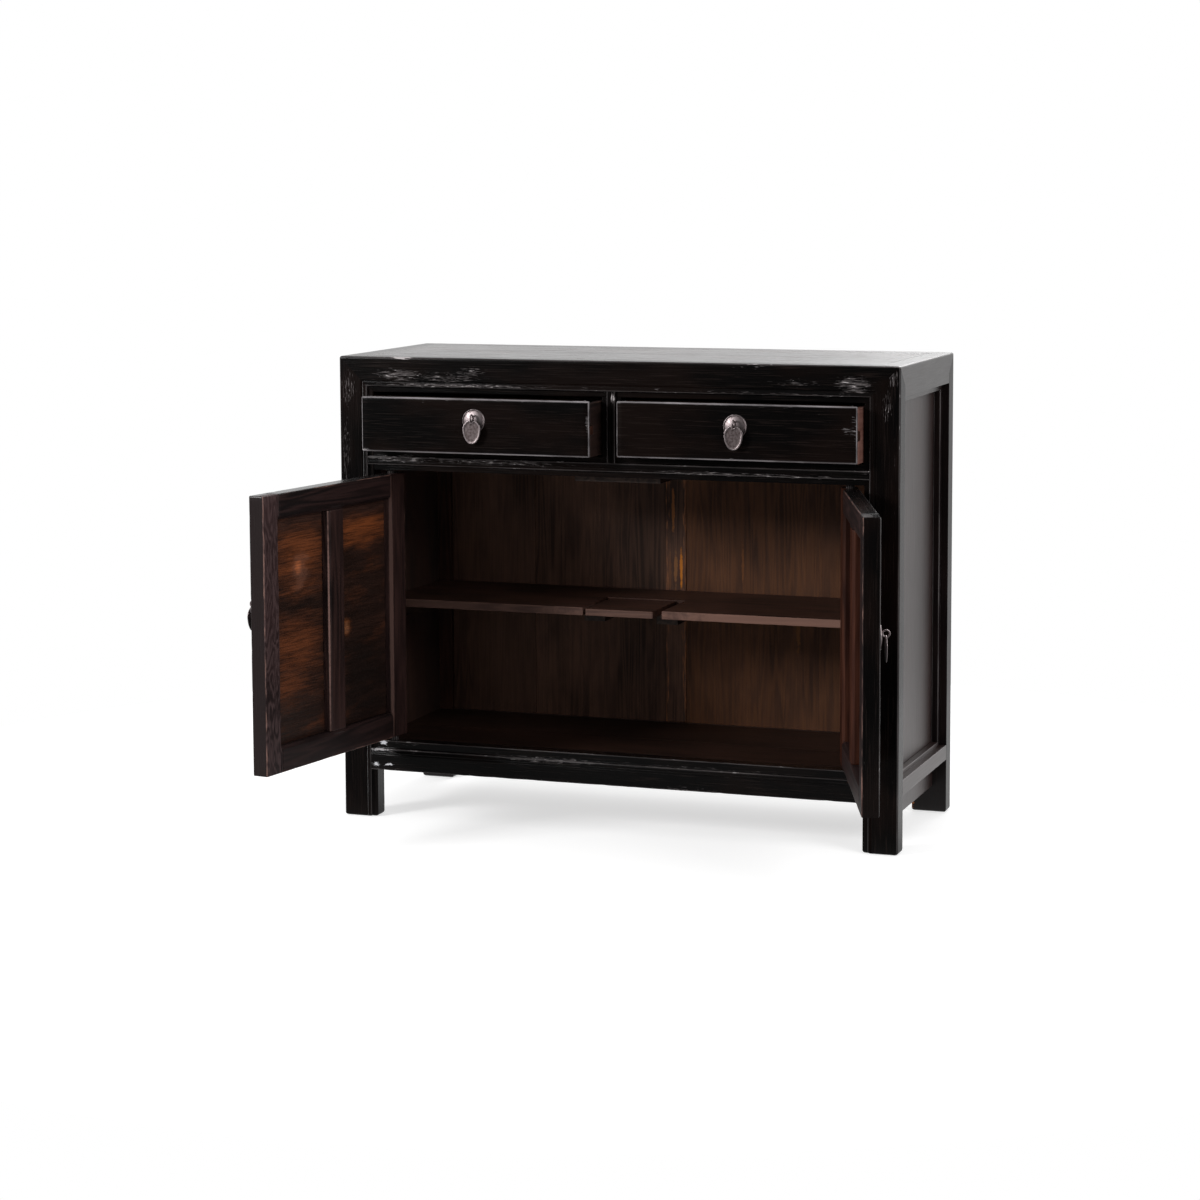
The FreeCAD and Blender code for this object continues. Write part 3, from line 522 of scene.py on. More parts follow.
def lacquer_look(
    at, deep, brown, streak, dash, chip, wear=1.0, streaks=0.5, dashes=0.7, rub_and_highlight=0.35, gloss=0.24,
    clusters=1.0, dulled=0.0, tip_rub_and_highlight=0.0, tip_wear=1.0, line=1.0, places_worn=(), marks=(),
):
    """Old black lacquer over open-grained wood: near black, browner in slow patches, with faint lines
    along the grain, clusters of short pale dashes near some arrises and in the worn places, a thin
    pale line along each arris that is partly rubbed wear and partly a painted highlight, and pale
    chips where the distance from it, less a noise, falls short. Marks are patches of a colour of their
    own at set spots: most are pale scuffs, and those on the top are darker patches of painted sheen."""
    fibres = noise(at.grain, (14, 520, 520))
    bands = bands_of(noise(at.grain, (1.6, 40, 40), 2.0, 0.5, 0.4), 7.0)
    patches = noise(at.grain, (5, 12, 12), 3.0, 0.5)
    chips = noise(at.grain, (60, 400, 400), 4.0, 0.62)
    slow = noise(at.grain, (7, 16, 16), offset=(3, 1, 7))
    hairs = noise(at.grain, (60, 760, 760), 2.0, offset=(5, 5, 5))
    body = painted(ramp(patches, 0.42, 0.66), deep, brown)
    lines = ramp(fibres, 0.52, 0.66) * ramp(bands, 0.12, 0.42, 0.3, 1.0)
    body = painted(lines * streaks, body, streak)
    rubbed_here = slow * 0.0
    for centre, size, strength in places_worn:
        soft = patch(at.spot, centre, size, 0.25, (60, 120, 120), (0.3, 1.2))
        rubbed_here = rubbed_here.most(soft * strength)
    cluster = ramp(slow, 0.52, 0.68) * (ramp(at.arris, 0.0, 0.014, 1.0, 0.12) * (0.24 * clusters))
    hairs = ramp(hairs + cluster.most(rubbed_here * 0.27), 0.76, 0.86)
    body = painted(hairs * ramp(chips, 0.40, 0.64, 0.25 * dashes, dashes), body, dash)
    loose = chips + slow * 0.62
    worn = ramp(loose + at.arris * (-75.0 / wear), 0.94, 1.02)
    worn = worn.most(ramp(loose + at.tip * (-200.0 / wear), 0.98, 1.06, 0.0, tip_wear))
    worn = worn.most(ramp(chips + rubbed_here * 0.22, 0.84, 0.92))
    # The thin pale line along each arris, and at a board's ends where asked, is partly rubbed wear and partly
    # a painted highlight of the rounded arris.
    thin = ramp(at.arris, 0.0006 * line, 0.0022 * line, 1.0, 0.0)
    thin = thin.most(ramp(at.tip, 0.0010, 0.0032, tip_rub_and_highlight, 0.0)) * ramp(slow, 0.36, 0.60, 0.4, 1.0)
    body = painted(thin * rub_and_highlight, body, dash)
    body = painted(worn * min(1.0, wear), body, chip)
    for centre, size, paint, strength, ragged in marks:
        spotted = patch(at.spot, centre, size, ragged, (110, 200, 260), (0.5, 0.8))
        body = painted(spotted * strength, body, paint)
    rough = fibres * 0.2 + (gloss - 0.09) + worn * 0.3 + ramp(lines, 0.0, 0.6) * dulled
    return body, rough, fibres * 0.6 + bands * 0.5 + worn * -0.5


def wood_look(
    at, dark, mid, light, rubbed, gloss=0.5, figure_scale=22.0, figure_length=1.7, figures=0.45,
    pores=0.45, worn=1.0, worn_share=0.8, tones=0.2, marks=(),
):
    """Old bare or stained wood: cathedral figure as the contour lines of a stretched noise, fine dark
    pores, slow patches and paler rubbed arrises. Marks are patches of other colours at set spots."""
    fibres = noise(at.grain, (11, 560, 560), 3.0, 0.62)
    figure = noise(at.grain, (figure_length, figure_scale, figure_scale), 2.0, 0.5, 0.3)
    bands = ramp(bands_of(figure, 9.0), 0.05, 0.48)
    patches = noise(at.grain, (4, 9, 9), 3.0, 0.55, offset=(2, 5, 1))
    chips = noise(at.grain, (30, 300, 300), 4.0, 0.62)
    body = painted(ramp(patches, 0.34, 0.66), dark, mid)
    body = painted(bands * figures, body, light)
    body = painted(ramp(fibres, 0.54, 0.36, 0.0, pores), body, dark)
    body = painted(at.tone * tones, body, dark)
    for centre, size, paint, strength, ragged in marks:
        body = painted(patch(at.spot, centre, size, ragged) * strength, body, paint)
    body = painted(ramp(chips + at.arris * (-70.0 / worn), 0.36, 0.62, 0.0, worn_share), body, rubbed)
    return body, fibres * 0.3 + (gloss - 0.12), fibres * 0.7 + bands * 0.4 + patches * 0.8


def knotty_look(at, dark, mid, orange, pale, side, shift, marks, shades, knots):
    """Rough knotty board under old varnish: the grain runs across, blotched orange where the varnish
    is thin and dark in shades, with faint rings round each knot, bands of the distance from it. side
    is -1 on the left door, whose places are then measured as on the right one."""
    place = stretched(at.spot, (side, 1, 1))
    fine = noise(place, (16, 60, 420), 4.0, 0.65, offset=shift)
    broad = noise(place, (4, 5, 34), 4.0, 0.62, 0.6, shift)
    cloud = noise(place, (12, 14, 40), 4.0, offset=shift)
    body = painted(ramp(broad, 0.36, 0.64, 0.4, 1.0), dark, mid)
    glow = ramp(cloud, 0.46, 0.70, 0.0, 0.25)
    for centre, size, strength in marks:
        glow = glow.most(patch(place, centre, size, 0.45, (22, 60, 120), (0.2, 1.25)) * strength)
    body = painted(glow * ramp(broad, 0.34, 0.58, 0.55, 1.0), body, orange)
    for centre, size, strength, paint in shades:
        body = painted(patch(place, centre, size, 0.4, (16, 60, 90), (0.2, 1.3)) * strength, body, paint)
    body = painted(ramp(fine, 0.58, 0.40, 0.0, 0.55), body, dark)
    for centre, size, strength in knots:
        away = distance(place, centre, size) + (cloud - 0.5) * 2.4
        rings = bands_of(away, 2.6) * 0.6 + 0.5
        body = painted(ramp(away, 0.2, 1.1, 1.0, 0.0) * (rings * strength), body, pale)
    return body, fine * 0.4 + 0.3, fine * 0.8 + cloud * 1.6


def hidden_look(tree, turn):
    """Plain dusty wood of the parts inside, its grain along X, or along Y where turn is a quarter."""
    place = Field(node(tree, "ShaderNodeTexCoord"), "Object")
    place = Field(node(tree, "ShaderNodeMapping", {"Vector": place, "Rotation": (0, 0, turn)}))
    fibres = noise(place, (9, 480, 480))
    bands = bands_of(noise(place, (1.5, 24, 24), 2.0, 0.5, 0.3), 8.0)
    body = painted(ramp(bands, 0.05, 0.48), (48, 33, 27), (66, 48, 39))
    body = painted(ramp(fibres, 0.52, 0.36, 0.0, 0.5), body, (36, 25, 20))
    return body, fibres * 0.25 + 0.5, fibres + bands * 0.4


def pewter_look(tree):
    """Warm grey cast metal: bright on the swells, dull and brown in the hollows, faintly hammered."""
    at = board_places(tree)
    spots = noise(at.grain, (260, 260, 260), 4.0)
    hammer = Field(node(tree, "ShaderNodeTexVoronoi", {"Vector": at.grain, "Scale": 300.0}), "Distance")
    tarnish = at.arris * 0.6 + ramp(spots, 0.42, 0.64) * 0.35
    body = painted(ramp(tarnish, 0.0, 1.0), (168, 156, 157), (92, 81, 80))
    return body, tarnish * 0.16 + 0.42, hammer * 0.6 + spots * 0.5


def board_look(tree, outer, inner):
    """The outer look and, where given, the inner look on the inner faces, the border between them
    broken by a noise."""
    at = board_places(tree)
    body, rough, height = outer(at)
    if inner is None:
        return body, rough, height
    share = ramp(at.inside + (noise(at.grain, (60, 260, 260)) - 0.5) * 0.9, 0.4, 0.6)
    body_in, rough_in, height_in = inner(at)
    return painted(share, body, body_in), between(share, rough, rough_in), between(share, height, height_in)


def coated(name, look, bump, grain_height=0.0006, shine=0.5, metal=0.0):
    """The material of a look, which gives its colour, roughness and height."""
    finishes[name] = bpy.data.materials.new(name)
    tree = bare_tree(finishes[name])
    body, rough, height = look(tree)
    bumped = node(tree, "ShaderNodeBump", {"Height": height, "Strength": bump, "Distance": grain_height})
    inputs = {"Base Color": body, "Roughness": rough, "Normal": Field(bumped)}
    inputs |= {"Specular IOR Level": shine, "Metallic": metal}
    shader = node(tree, "ShaderNodeBsdfPrincipled", inputs)
    node(tree, "ShaderNodeOutputMaterial", {0: Field(shader)})


def finish(name, outer, inner=None, bump=0.35, **settings):
    """A board's finish from the look of its outer faces and another on its inner faces."""
    coated(name, partial(board_look, outer=outer, inner=inner), bump, **settings)


def upright(y, reach, *rows):
    """Places on an upright face at depth y. A row is x, z, half the width, half the height and what
    follows, and gives the centre, the size and what follows."""
    return [((x, y, z), (wide, reach, high), *rest) for x, z, wide, high, *rest in rows]


front_black = partial(
    lacquer_look, deep=(6, 5, 5), brown=(17, 10, 8), streak=(34, 25, 22), dash=(118, 112, 112),
    chip=(178, 172, 172),
)
# The sides' black is painted lighter and warmer than the front's: a painted sheen that stands in for part of
# the greyish grazing reflection of the sides. Its dashes and wear are its own.
side_black_painted_sheen = partial(
    front_black, deep=(28, 19, 18), brown=(38, 27, 25), streak=(54, 41, 38), wear=0.5, streaks=0.3,
    dashes=0.3, rub_and_highlight=0.3, gloss=0.30, clusters=0.5,
)
leg_black = partial(
    side_black_painted_sheen, deep=(16, 11, 11), brown=(26, 18, 17), streak=(44, 34, 32), dashes=0.5, rub_and_highlight=0.6,
    marks=[((post_inner, frame_back, 0.035), (0.006, 0.012, 0.05), (190, 118, 70), 0.9, 1.0)],
)
# The top: its streaks and wear are its own, but its lacquer is painted far paler and greyer than the front's,
# a painted sheen that stands in for the grazing reflection of the top. The two dark marks at the right end
# paint that sheen darker there.
top_black_painted_sheen = partial(
    front_black, deep=(28, 22, 21), brown=(62, 52, 51), streak=(112, 99, 98), streaks=1.0, dashes=0.8,
    dulled=0.4, places_worn=[((-0.44, 0.205, 0.8435), (0.08, 0.05, 0.02), 1.0)],
    marks=[
        ((0.360, 0.150, 0.8435), (0.160, 0.040, 0.02), (26, 21, 20), 0.7, 1.0),
        ((0.250, 0.290, 0.8435), (0.200, 0.030, 0.02), (26, 21, 20), 0.6, 1.0),
    ],
)
stained = partial(
    wood_look, dark=(30, 17, 13), mid=(56, 33, 25), light=(72, 44, 32), rubbed=(96, 64, 50), worn_share=0.4,
)
finish("front_lacquer", partial(front_black, tip_wear=0.0, deep=(5, 4, 4), places_worn=upright(
    0, 0.03, (-0.502, 0.785, 0.018, 0.045, 0.9), (0.508, 0.822, 0.015, 0.024, 1.0),
    (0.498, 0.772, 0.014, 0.040, 0.8), (0.510, 0.650, 0.008, 0.120, 0.4),
    (-0.508, 0.670, 0.010, 0.120, 0.8), (-0.510, 0.450, 0.008, 0.300, 0.6),
    (0.004, 0.778, 0.006, 0.012, 1.6), (-0.465, 0.720, 0.006, 0.060, 0.9),
)), stained, shine=0.15)
finish("side_lacquer", side_black_painted_sheen, stained, shine=0.7)
# The side panels are painted lighter and warmer still, more painted sheen.
finish("panel_lacquer", partial(
    side_black_painted_sheen, deep=(40, 25, 23), brown=(48, 32, 30), gloss=0.37,
), stained, shine=1.0)
finish("top_lacquer_painted_sheen", top_black_painted_sheen, shine=0.7)
# The drawer fronts get a wider, brighter pale line along their arrises and ends: partly wear and partly a
# painted highlight.
finish("drawer_lacquer", partial(
    front_black, rub_and_highlight=1.0, tip_rub_and_highlight=0.9, line=1.5, dash=(140, 135, 137), places_worn=upright(
        0, 0.03, (0.440, 0.733, 0.022, 0.012, 1.0), (0.449, 0.745, 0.010, 0.030, 0.9),
        (0.230, 0.775, 0.240, 0.005, 0.8), (-0.230, 0.775, 0.240, 0.005, 0.8),
        (-0.024, 0.735, 0.006, 0.022, 1.1), (-0.446, 0.680, 0.014, 0.006, 1.2),
    ),
), stained, shine=0.12)
finish("bead_lacquer", partial(front_black, places_worn=upright(
    0, 0.02, (-0.400, 0.660, 0.085, 0.010, 1.3), (-0.230, 0.659, 0.200, 0.007, 1.15),
    (0.240, 0.650, 0.260, 0.006, 1.05),
)), stained, shine=0.2)
finish("upper_lacquer", partial(front_black, tip_wear=0.0, places_worn=upright(
    0, 0.02, (-0.398, 0.842, 0.034, 0.004, 2.0), (-0.405, 0.812, 0.060, 0.016, 1.15),
    (-0.265, 0.818, 0.040, 0.013, 1.05), (-0.330, 0.808, 0.120, 0.014, 0.9),
    (-0.280, 0.794, 0.220, 0.005, 1.3), (0.438, 0.810, 0.050, 0.020, 1.18),
    (0.330, 0.812, 0.060, 0.010, 0.8), (0.250, 0.792, 0.200, 0.005, 0.7),
)), shine=0.15)
finish("rail_lacquer", partial(
    front_black, places_worn=upright(
        0, 0.02, (-0.120, 0.127, 0.150, 0.008, 1.0), (0.150, 0.129, 0.250, 0.005, 0.7),
    ),
    marks=upright(0.003, 0.01, (-0.443, 0.138, 0.014, 0.006, (206, 206, 210), 0.95, 1.0)) + upright(
        0, 0.01, (-0.450, 0.126, 0.020, 0.004, (160, 156, 158), 0.9, 1.0),
        (-0.457, 0.098, 0.010, 0.004, (206, 206, 210), 0.9, 1.0),
        (-0.428, 0.099, 0.011, 0.003, (206, 206, 210), 0.9, 1.0),
    ),
), stained, shine=0.3)
finish("leg_lacquer", leg_black, stained, shine=0.2)

back_brown = partial(
    wood_look, dark=(52, 35, 28), mid=(100, 71, 57), light=(118, 83, 64), rubbed=(100, 68, 52),
    worn_share=0.3, figure_scale=34.0, figures=0.35, gloss=0.55,
)
finish("back_left_wood", side_black_painted_sheen, partial(back_brown, tones=0.5), shine=0.2)
finish("back_right_wood", side_black_painted_sheen, partial(
    back_brown, dark=(63, 38, 25), mid=(99, 63, 41), light=(122, 76, 42), marks=upright(
        0.38, 0.02, (0.128, 0.440, 0.003, 0.045, (140, 84, 40), 0.4, 0.5),
        (0.236, 0.320, 0.005, 0.050, (140, 88, 36), 0.45, 0.5),
    ),
), shine=0.2)
finish("back_stile_wood", side_black_painted_sheen, partial(
    back_brown, rubbed=(150, 96, 62), worn_share=0.9, worn=3.0, marks=upright(
        0.374, 0.02, (0.008, 0.425, 0.0035, 0.045, (206, 122, 36), 0.95, 0.5),
        (-0.008, 0.540, 0.0035, 0.050, (150, 92, 44), 0.7, 0.5),
        (-0.003, 0.430, 0.0040, 0.040, (150, 100, 58), 0.7, 0.5),
        (-0.014, 0.420, 0.0030, 0.050, (120, 78, 50), 0.6, 0.5),
    ),
), shine=0.2)
# The front edge of the shelf. Its two marks are painted light and shade: darker on the left, where the open
# left door shades it from the lamp, and paler on the right, where the lamp falls.
shelf_edge_painted_light = partial(
    wood_look, dark=(66, 46, 40), mid=(96, 72, 64), light=(116, 86, 74), rubbed=(104, 76, 66),
    worn_share=0.5, pores=0.4, gloss=0.55, marks=upright(
        shelf_front, 0.05, (-0.330, 0.380, 0.260, 0.05, (54, 37, 32), 0.6, 0.3),
        (0.280, 0.380, 0.240, 0.05, (138, 102, 88), 0.55, 0.3),
    ),
)
finish("shelf_wood", partial(
    wood_look, dark=(42, 27, 22), mid=(76, 50, 41), light=(92, 62, 50), rubbed=(70, 46, 38),
    worn_share=0.3, tones=0.08,
), shelf_edge_painted_light, shine=0.2)
finish("floor_wood", partial(
    wood_look, dark=(30, 18, 14), mid=(54, 34, 27), light=(68, 44, 34), rubbed=(90, 62, 50),
    worn_share=0.5, gloss=0.45,
), shine=0.3)

mauve = partial(
    wood_look, dark=(32, 20, 20), mid=(60, 41, 41), light=(92, 68, 66), rubbed=(150, 114, 102),
    figures=0.6, worn=0.7, worn_share=0.7,
)
dark_mauve = partial(mauve, dark=(20, 12, 12), mid=(38, 25, 24), light=(60, 40, 38))
# The left door's free stile. On its free edge face a paler grey-brown is painted, a painted sheen where that
# edge catches the light.
finish("door_stile_wood", partial(front_black, marks=upright(
    sum(door_y) / 2, 0.03, (-door_x[0], 0.39, 0.002, 0.60, (40, 33, 33), 0.85, 0.15),
)), partial(
    mauve, mid=(66, 47, 47), light=(100, 79, 79), figures=0.55, figure_scale=46.0, figure_length=12.0,
), shine=0.25)
finish("door_rail_wood", front_black, dark_mauve, shine=0.25)
# The inner stiles of the left door. The pale band on the hinge stile's wide chamfer is painted light, where
# the chamfer is lit; the pale line along the middle stile's arris towards the free edge is partly wear and
# partly a painted highlight.
finish("inner_stile_wood", front_black, partial(
    dark_mauve, mid=(48, 31, 29), light=(68, 46, 42), worn=1.4, worn_share=0.9, marks=[
        ((-0.4035, 0.033, 0.39), (0.0045, 0.006, 0.34), (92, 65, 57), 0.7, 0.15),
        ((-0.2470, 0.034, 0.39), (0.0035, 0.005, 0.34), (60, 40, 36), 0.6, 0.15),
        ((-0.2010, 0.034, 0.39), (0.0022, 0.004, 0.34), (146, 112, 103), 0.85, 0.15),
    ],
), shine=0.25)
finish("right_stile_wood", front_black, partial(
    mauve, dark=(38, 18, 12), mid=(64, 34, 24), light=(84, 48, 34),
), shine=0.1)
varnish = partial(
    knotty_look, dark=(22, 13, 10), mid=(56, 33, 24), orange=(132, 70, 34), pale=(170, 120, 100),
)
on_panel = partial(upright, 0.020, 0.03)
finish("left_panel_wood", front_black, partial(
    varnish, side=-1, shift=(0, 0, 0),
    marks=on_panel(
        (0.125, 0.515, 0.110, 0.085, 0.75), (0.110, 0.365, 0.100, 0.070, 0.6),
        (0.085, 0.295, 0.080, 0.030, 0.5), (0.325, 0.540, 0.110, 0.035, 1.0),
        (0.275, 0.371, 0.016, 0.018, 0.9),
    ),
    shades=on_panel(
        (0.330, 0.270, 0.110, 0.120, 0.8, (22, 13, 10)), (0.330, 0.430, 0.110, 0.060, 0.4, (22, 13, 10)),
        (0.225, 0.582, 0.300, 0.022, 0.8, (66, 42, 34)), (0.125, 0.428, 0.120, 0.016, 0.5, (30, 17, 12)),
        (0.126, 0.495, 0.011, 0.013, 0.9, (196, 108, 56)), (0.273, 0.371, 0.012, 0.015, 0.8, (140, 88, 46)),
    ),
    knots=upright(0.020, 0.02, (0.130, 0.490, 0.030, 0.038, 0.30), (0.275, 0.371, 0.009, 0.013, 0.25)),
), 0.6, grain_height=0.0012, shine=0.35)
finish("right_panel_wood", front_black, partial(
    varnish, dark=(26, 14, 10), mid=(54, 31, 24), side=1, shift=(3.1, 1.7, 0.6),
    marks=on_panel((0.12, 0.33, 0.09, 0.09, 0.4), (0.33, 0.47, 0.09, 0.08, 0.4)),
    shades=on_panel((0.12, 0.52, 0.10, 0.06, 0.6, (22, 13, 10))),
    knots=upright(0.020, 0.02, (0.33, 0.30, 0.015, 0.020, 0.3)),
), 0.6, grain_height=0.0012, shine=0.12)
finish("left_drawer_wood", partial(
    wood_look, dark=(24, 15, 13), mid=(44, 29, 25), light=(60, 41, 35), rubbed=(100, 74, 64), worn=0.7,
    gloss=0.55,
), shine=0.3)
finish("right_drawer_wood", partial(
    wood_look, dark=(78, 46, 38), mid=(118, 80, 70), light=(140, 102, 92), rubbed=(170, 140, 132),
    worn=0.7, gloss=0.55,
), shine=0.3)
coated("pull_pewter", pewter_look, 0.14, metal=1.0)
coated("hidden_wood_x", partial(hidden_look, turn=0.0), 0.4)
coated("hidden_wood_y", partial(hidden_look, turn=math.pi / 2), 0.4)


# The case

def corner_post_section(front):
    """Plan of a right-hand corner post; a front one has a set-back lip, a bead and its quirk."""
    inner = band_inner + bead
    if front:
        return outline([
            (post_inner, lip_back, sharp), (band_inner, lip_back, 0), (band_inner, 0, bead_round),
            (inner - quirk, 0, sharp), (inner, quirk, sharp), (inner + quirk, 0, sharp),
            (half_width, 0, arris), (half_width, frame_thick, sharp), (post_inner, frame_thick, eased),
        ])
    return outline([
        (post_inner, frame_back, sharp), (half_width, frame_back, sharp),
        (half_width, case_depth, arris), (post_inner, case_depth, eased),
    ])


def post_inner_faces(front):
    """The faces of a right-hand post that look into the cupboard: past a limit on each side, each
    over the width of its own fade."""
    def within(spot):
        x, y, z = spot.T
        inward = y - frame_thick if front else frame_back - y
        face = np.maximum((inward + 0.004) / 0.002, (post_inner + 0.003 - x) / 0.001)
        face = np.minimum(face, (inward + 0.024) / 0.002 if front else (inward + 0.010) / 0.001)
        face = np.minimum(face, (panel_outer - 0.003 - x) / 0.002)
        return np.minimum(face, (z - back_rail[0]) / 0.004)
    return within


def corner_post(front, seed):
    """A right-hand corner post. Its head is mitred both ways: z = height - max(distance from the side,
    distance from the front), with its panel moulding along its inner side."""
    section = corner_post_section(front)
    x, y = section[0].T
    head = case_height - np.maximum(half_width - x, y if front else case_depth - y)
    within = post_inner_faces(front)
    post = carried(section, along_z, 0.0, head, soft=(foot_round, 0), seed=seed, within=within)
    y_range = (frame_back - moulding, frame_back + tuck)
    if front:
        y_range = (frame_thick - tuck, frame_thick + moulding)
    x_range = (panel_outer, moulding_face)
    return [post, board(x_range, y_range, along_z, side_rail[1], top_rail_low - moulding, seed=seed + 3)]


for place, paint, seed in (("front", "front_lacquer", 1), ("back", "leg_lacquer", 2)):
    for side, further in (("left", 20), ("right", 0)):
        shells = corner_post(place == "front", seed + further)
        piece("post_%s_%s" % (place, side), sided(side, shells), paint)


def mitred_rail(corners, front, **dents):
    """A top rail along X, its ends mitred: x = half width - max(distance from its outer face,
    distance below the top)."""
    section = outline(corners)
    y, z = section[0].T
    reach = half_width - np.maximum(y if front else case_depth - y, case_height - z)
    return [carried(section, along_x, -reach, reach, soft=(0, 0), **dents)]


def top_side_rail(seed):
    """Right top rail: it starts at y = max(distance from the side, depth below the top up to the
    frame's thickness), with a moulded lip over the side panel."""
    section = outline([
        (top_rail_low, half_width - frame_thick, eased), (top_rail_low, half_width, sharp),
        (case_height, half_width, arris), (case_height, half_width - frame_thick, sharp),
    ])
    z, x = section[0].T
    start = np.maximum(half_width - x, np.minimum(case_height - z, frame_thick))
    rail = carried(section, along_y, start, case_depth - start, soft=(0, 0), seed=seed)
    z_range, x_range = (top_rail_low - moulding, top_rail_low + tuck), (panel_outer, moulding_face)
    return [rail, board(z_range, x_range, along_y, frame_thick, frame_back, seed=seed + 3)]


def seamed_boards(z_range, reach, seed):
    """Boards along X between the front and the back of the frame, with a fine seam along the middle
    of their upper face."""
    low, high = z_range
    seam = case_depth / 2
    section = outline([
        (frame_thick, low, sharp), (frame_back, low, sharp), (frame_back, high, sharp),
        (seam + tuck, high, sharp), (seam, high - tuck, sharp), (seam - tuck, high, sharp),
        (frame_thick, high, sharp),
    ])
    return [carried(section, along_x, -reach, reach, soft=(0, 0), seed=seed)]


piece("top_rail_front", mitred_rail([
    (0, case_height, arris), (0, top_rail_low + bead + quirk, sharp), (quirk, top_rail_low + bead, sharp),
    (0, top_rail_low + bead - quirk, sharp), (0, top_rail_low, bead_round), (lip_back, top_rail_low, 0),
    (lip_back, top_lip_low, sharp), (frame_thick, top_lip_low, eased), (frame_thick, case_height, sharp),
], True, bite=0.0010, seed=5), "upper_lacquer")
piece("top_rail_back", mitred_rail([
    (frame_back, case_height, sharp), (case_depth, case_height, arris),
    (case_depth, top_rail_low, eased), (frame_back, top_rail_low, eased),
], False, seed=6), "side_lacquer")
for side, seed in (("right", 7), ("left", 8)):
    piece("top_rail_" + side, sided(side, top_side_rail(seed)), "side_lacquer")
top_boards = seamed_boards((case_height - top_board_thick, case_height), half_width - frame_thick, 9)
piece("top_boards", top_boards, "top_lacquer_painted_sheen")


def beaded_rail(corners, seed):
    """A front rail: what stands before the posts' lips reaches on to their beads."""
    section = outline(corners)
    reach = np.where(section[0][:, 0] < lip_back - hair, band_inner, post_inner)
    return [carried(section, along_x, -reach, reach, soft=(0, 0), bite=0.0011, seed=seed)]


band_low, band_high = drawer_band
band_middle = (band_low + band_high) / 2
piece("drawer_rail", beaded_rail([
    (lip_back, drawer_rail[0], sharp), (lip_back, band_low, 0), (0, band_low, bead_round),
    (0, band_middle - quirk, sharp), (quirk, band_middle, sharp), (0, band_middle + quirk, sharp),
    (0, band_high, bead_round), (lip_back, band_high, 0), (lip_back, drawer_rail[1], sharp),
    (frame_thick, drawer_rail[1], eased), (frame_thick, drawer_rail[0], eased),
], 10), "bead_lacquer")
quirk_z = low_rail[1] - bead
piece("lower_rail_front", beaded_rail([
    (0, low_rail[0], eased), (frame_thick, low_rail[0], eased), (frame_thick, sill_top, eased),
    (lip_back, sill_top, eased), (lip_back, low_rail[1], 0), (0, low_rail[1], bead_round),
    (0, quirk_z + quirk, sharp), (quirk, quirk_z, sharp), (0, quirk_z - quirk, sharp),
], 11), "rail_lacquer")
divider_half, divider_bead = 0.018, 0.008
divider_section = outline([
    (-divider_half, lip_back, sharp), (-divider_bead, lip_back, 0), (-divider_bead, 0, bead_round),
    (-quirk, 0, sharp), (0, quirk, sharp), (quirk, 0, sharp),
    (divider_bead, 0, bead_round), (divider_bead, lip_back, 0), (divider_half, lip_back, sharp),
    (divider_half, frame_thick, eased), (-divider_half, frame_thick, eased),
])
divider_front = divider_section[0][:, 1] < lip_back - hair
divider_low = np.where(divider_front, band_high, drawer_rail[1])
divider_high = np.where(divider_front, top_rail_low, top_lip_low)
divider = carried(divider_section, along_z, divider_low, divider_high, soft=(0, 0), seed=12)
piece("drawer_divider", [divider], "front_lacquer")


def lower_side_rail(seed):
    """Lower right rail before the side panel, with the small moulding that stands on it."""
    x0 = panel_outer + play
    z_range = (side_rail[1] - tuck, side_rail[1] + low_moulding)
    y0, y1 = frame_thick + moulding, frame_back - moulding
    return [
        board(side_rail, (x0, half_width), along_y, frame_thick, frame_back, soft=(0, 0), seed=seed),
        board(z_range, (x0, moulding_face), along_y, y0, y1, seed=seed + 1),
    ]


for side, seed in (("right", 13), ("left", 15)):
    piece("lower_rail_" + side, sided(side, lower_side_rail(seed)), "panel_lacquer")
shell = board((frame_back, case_depth), back_rail, along_x, -post_inner, post_inner, seed=17)
piece("lower_rail_back", [shell], "side_lacquer")
for side, seed in (("left", 18), ("right", 19)):
    shell = board(
        (panel_inner, panel_outer), side_panel_y, along_z, side_panel_low[side], panel_top,
        sharp, 0.02, seed=seed, within=beyond(0, panel_inner + 0.005, -0.002),
    )
    piece("side_panel_" + side, sided(side, [shell]), "panel_lacquer")

back_inner_face = beyond(1, frame_back + 0.015, -0.002)
for side in ("left", "right"):
    shells = [
        board(
            x_range, back_board_y, along_z, back_board_low, panel_top, gap=0.02, seed=seed,
            within=back_inner_face,
        )
        for x_range, seed in zip(back_boards[side], back_board_seeds[side])
    ]
    piece("back_panel_" + side, shells, "back_%s_wood" % side)
shell = board(
    back_stile_x, back_stile_y, along_z, back_rail[1], top_rail_low, seed=23, within=back_inner_face,
)
piece("back_stile", [shell], "back_stile_wood")
floor_boards = seamed_boards((back_rail[1] - floor_thick, back_rail[1]), panel_inner, 24)
piece("floor_boards", floor_boards, "floor_wood")

shelf_reach = panel_inner - play
shelf_rest = frame_back - play
shelf_section = outline([
    (shelf_split, shelf_low, sharp), (shelf_rest, shelf_low, 0), (shelf_back, shelf_low, sharp),
    (shelf_back, shelf_high, sharp), (shelf_rest, shelf_high, 0), (shelf_split, shelf_high, sharp),
])
shelf_end = np.where(shelf_section[0][:, 0] < frame_back, shelf_reach, post_inner - play)
back_shelf = carried(shelf_section, along_x, -shelf_end, shelf_end, seed=25)
piece("shelf_back_board", [back_shelf], "shelf_wood")
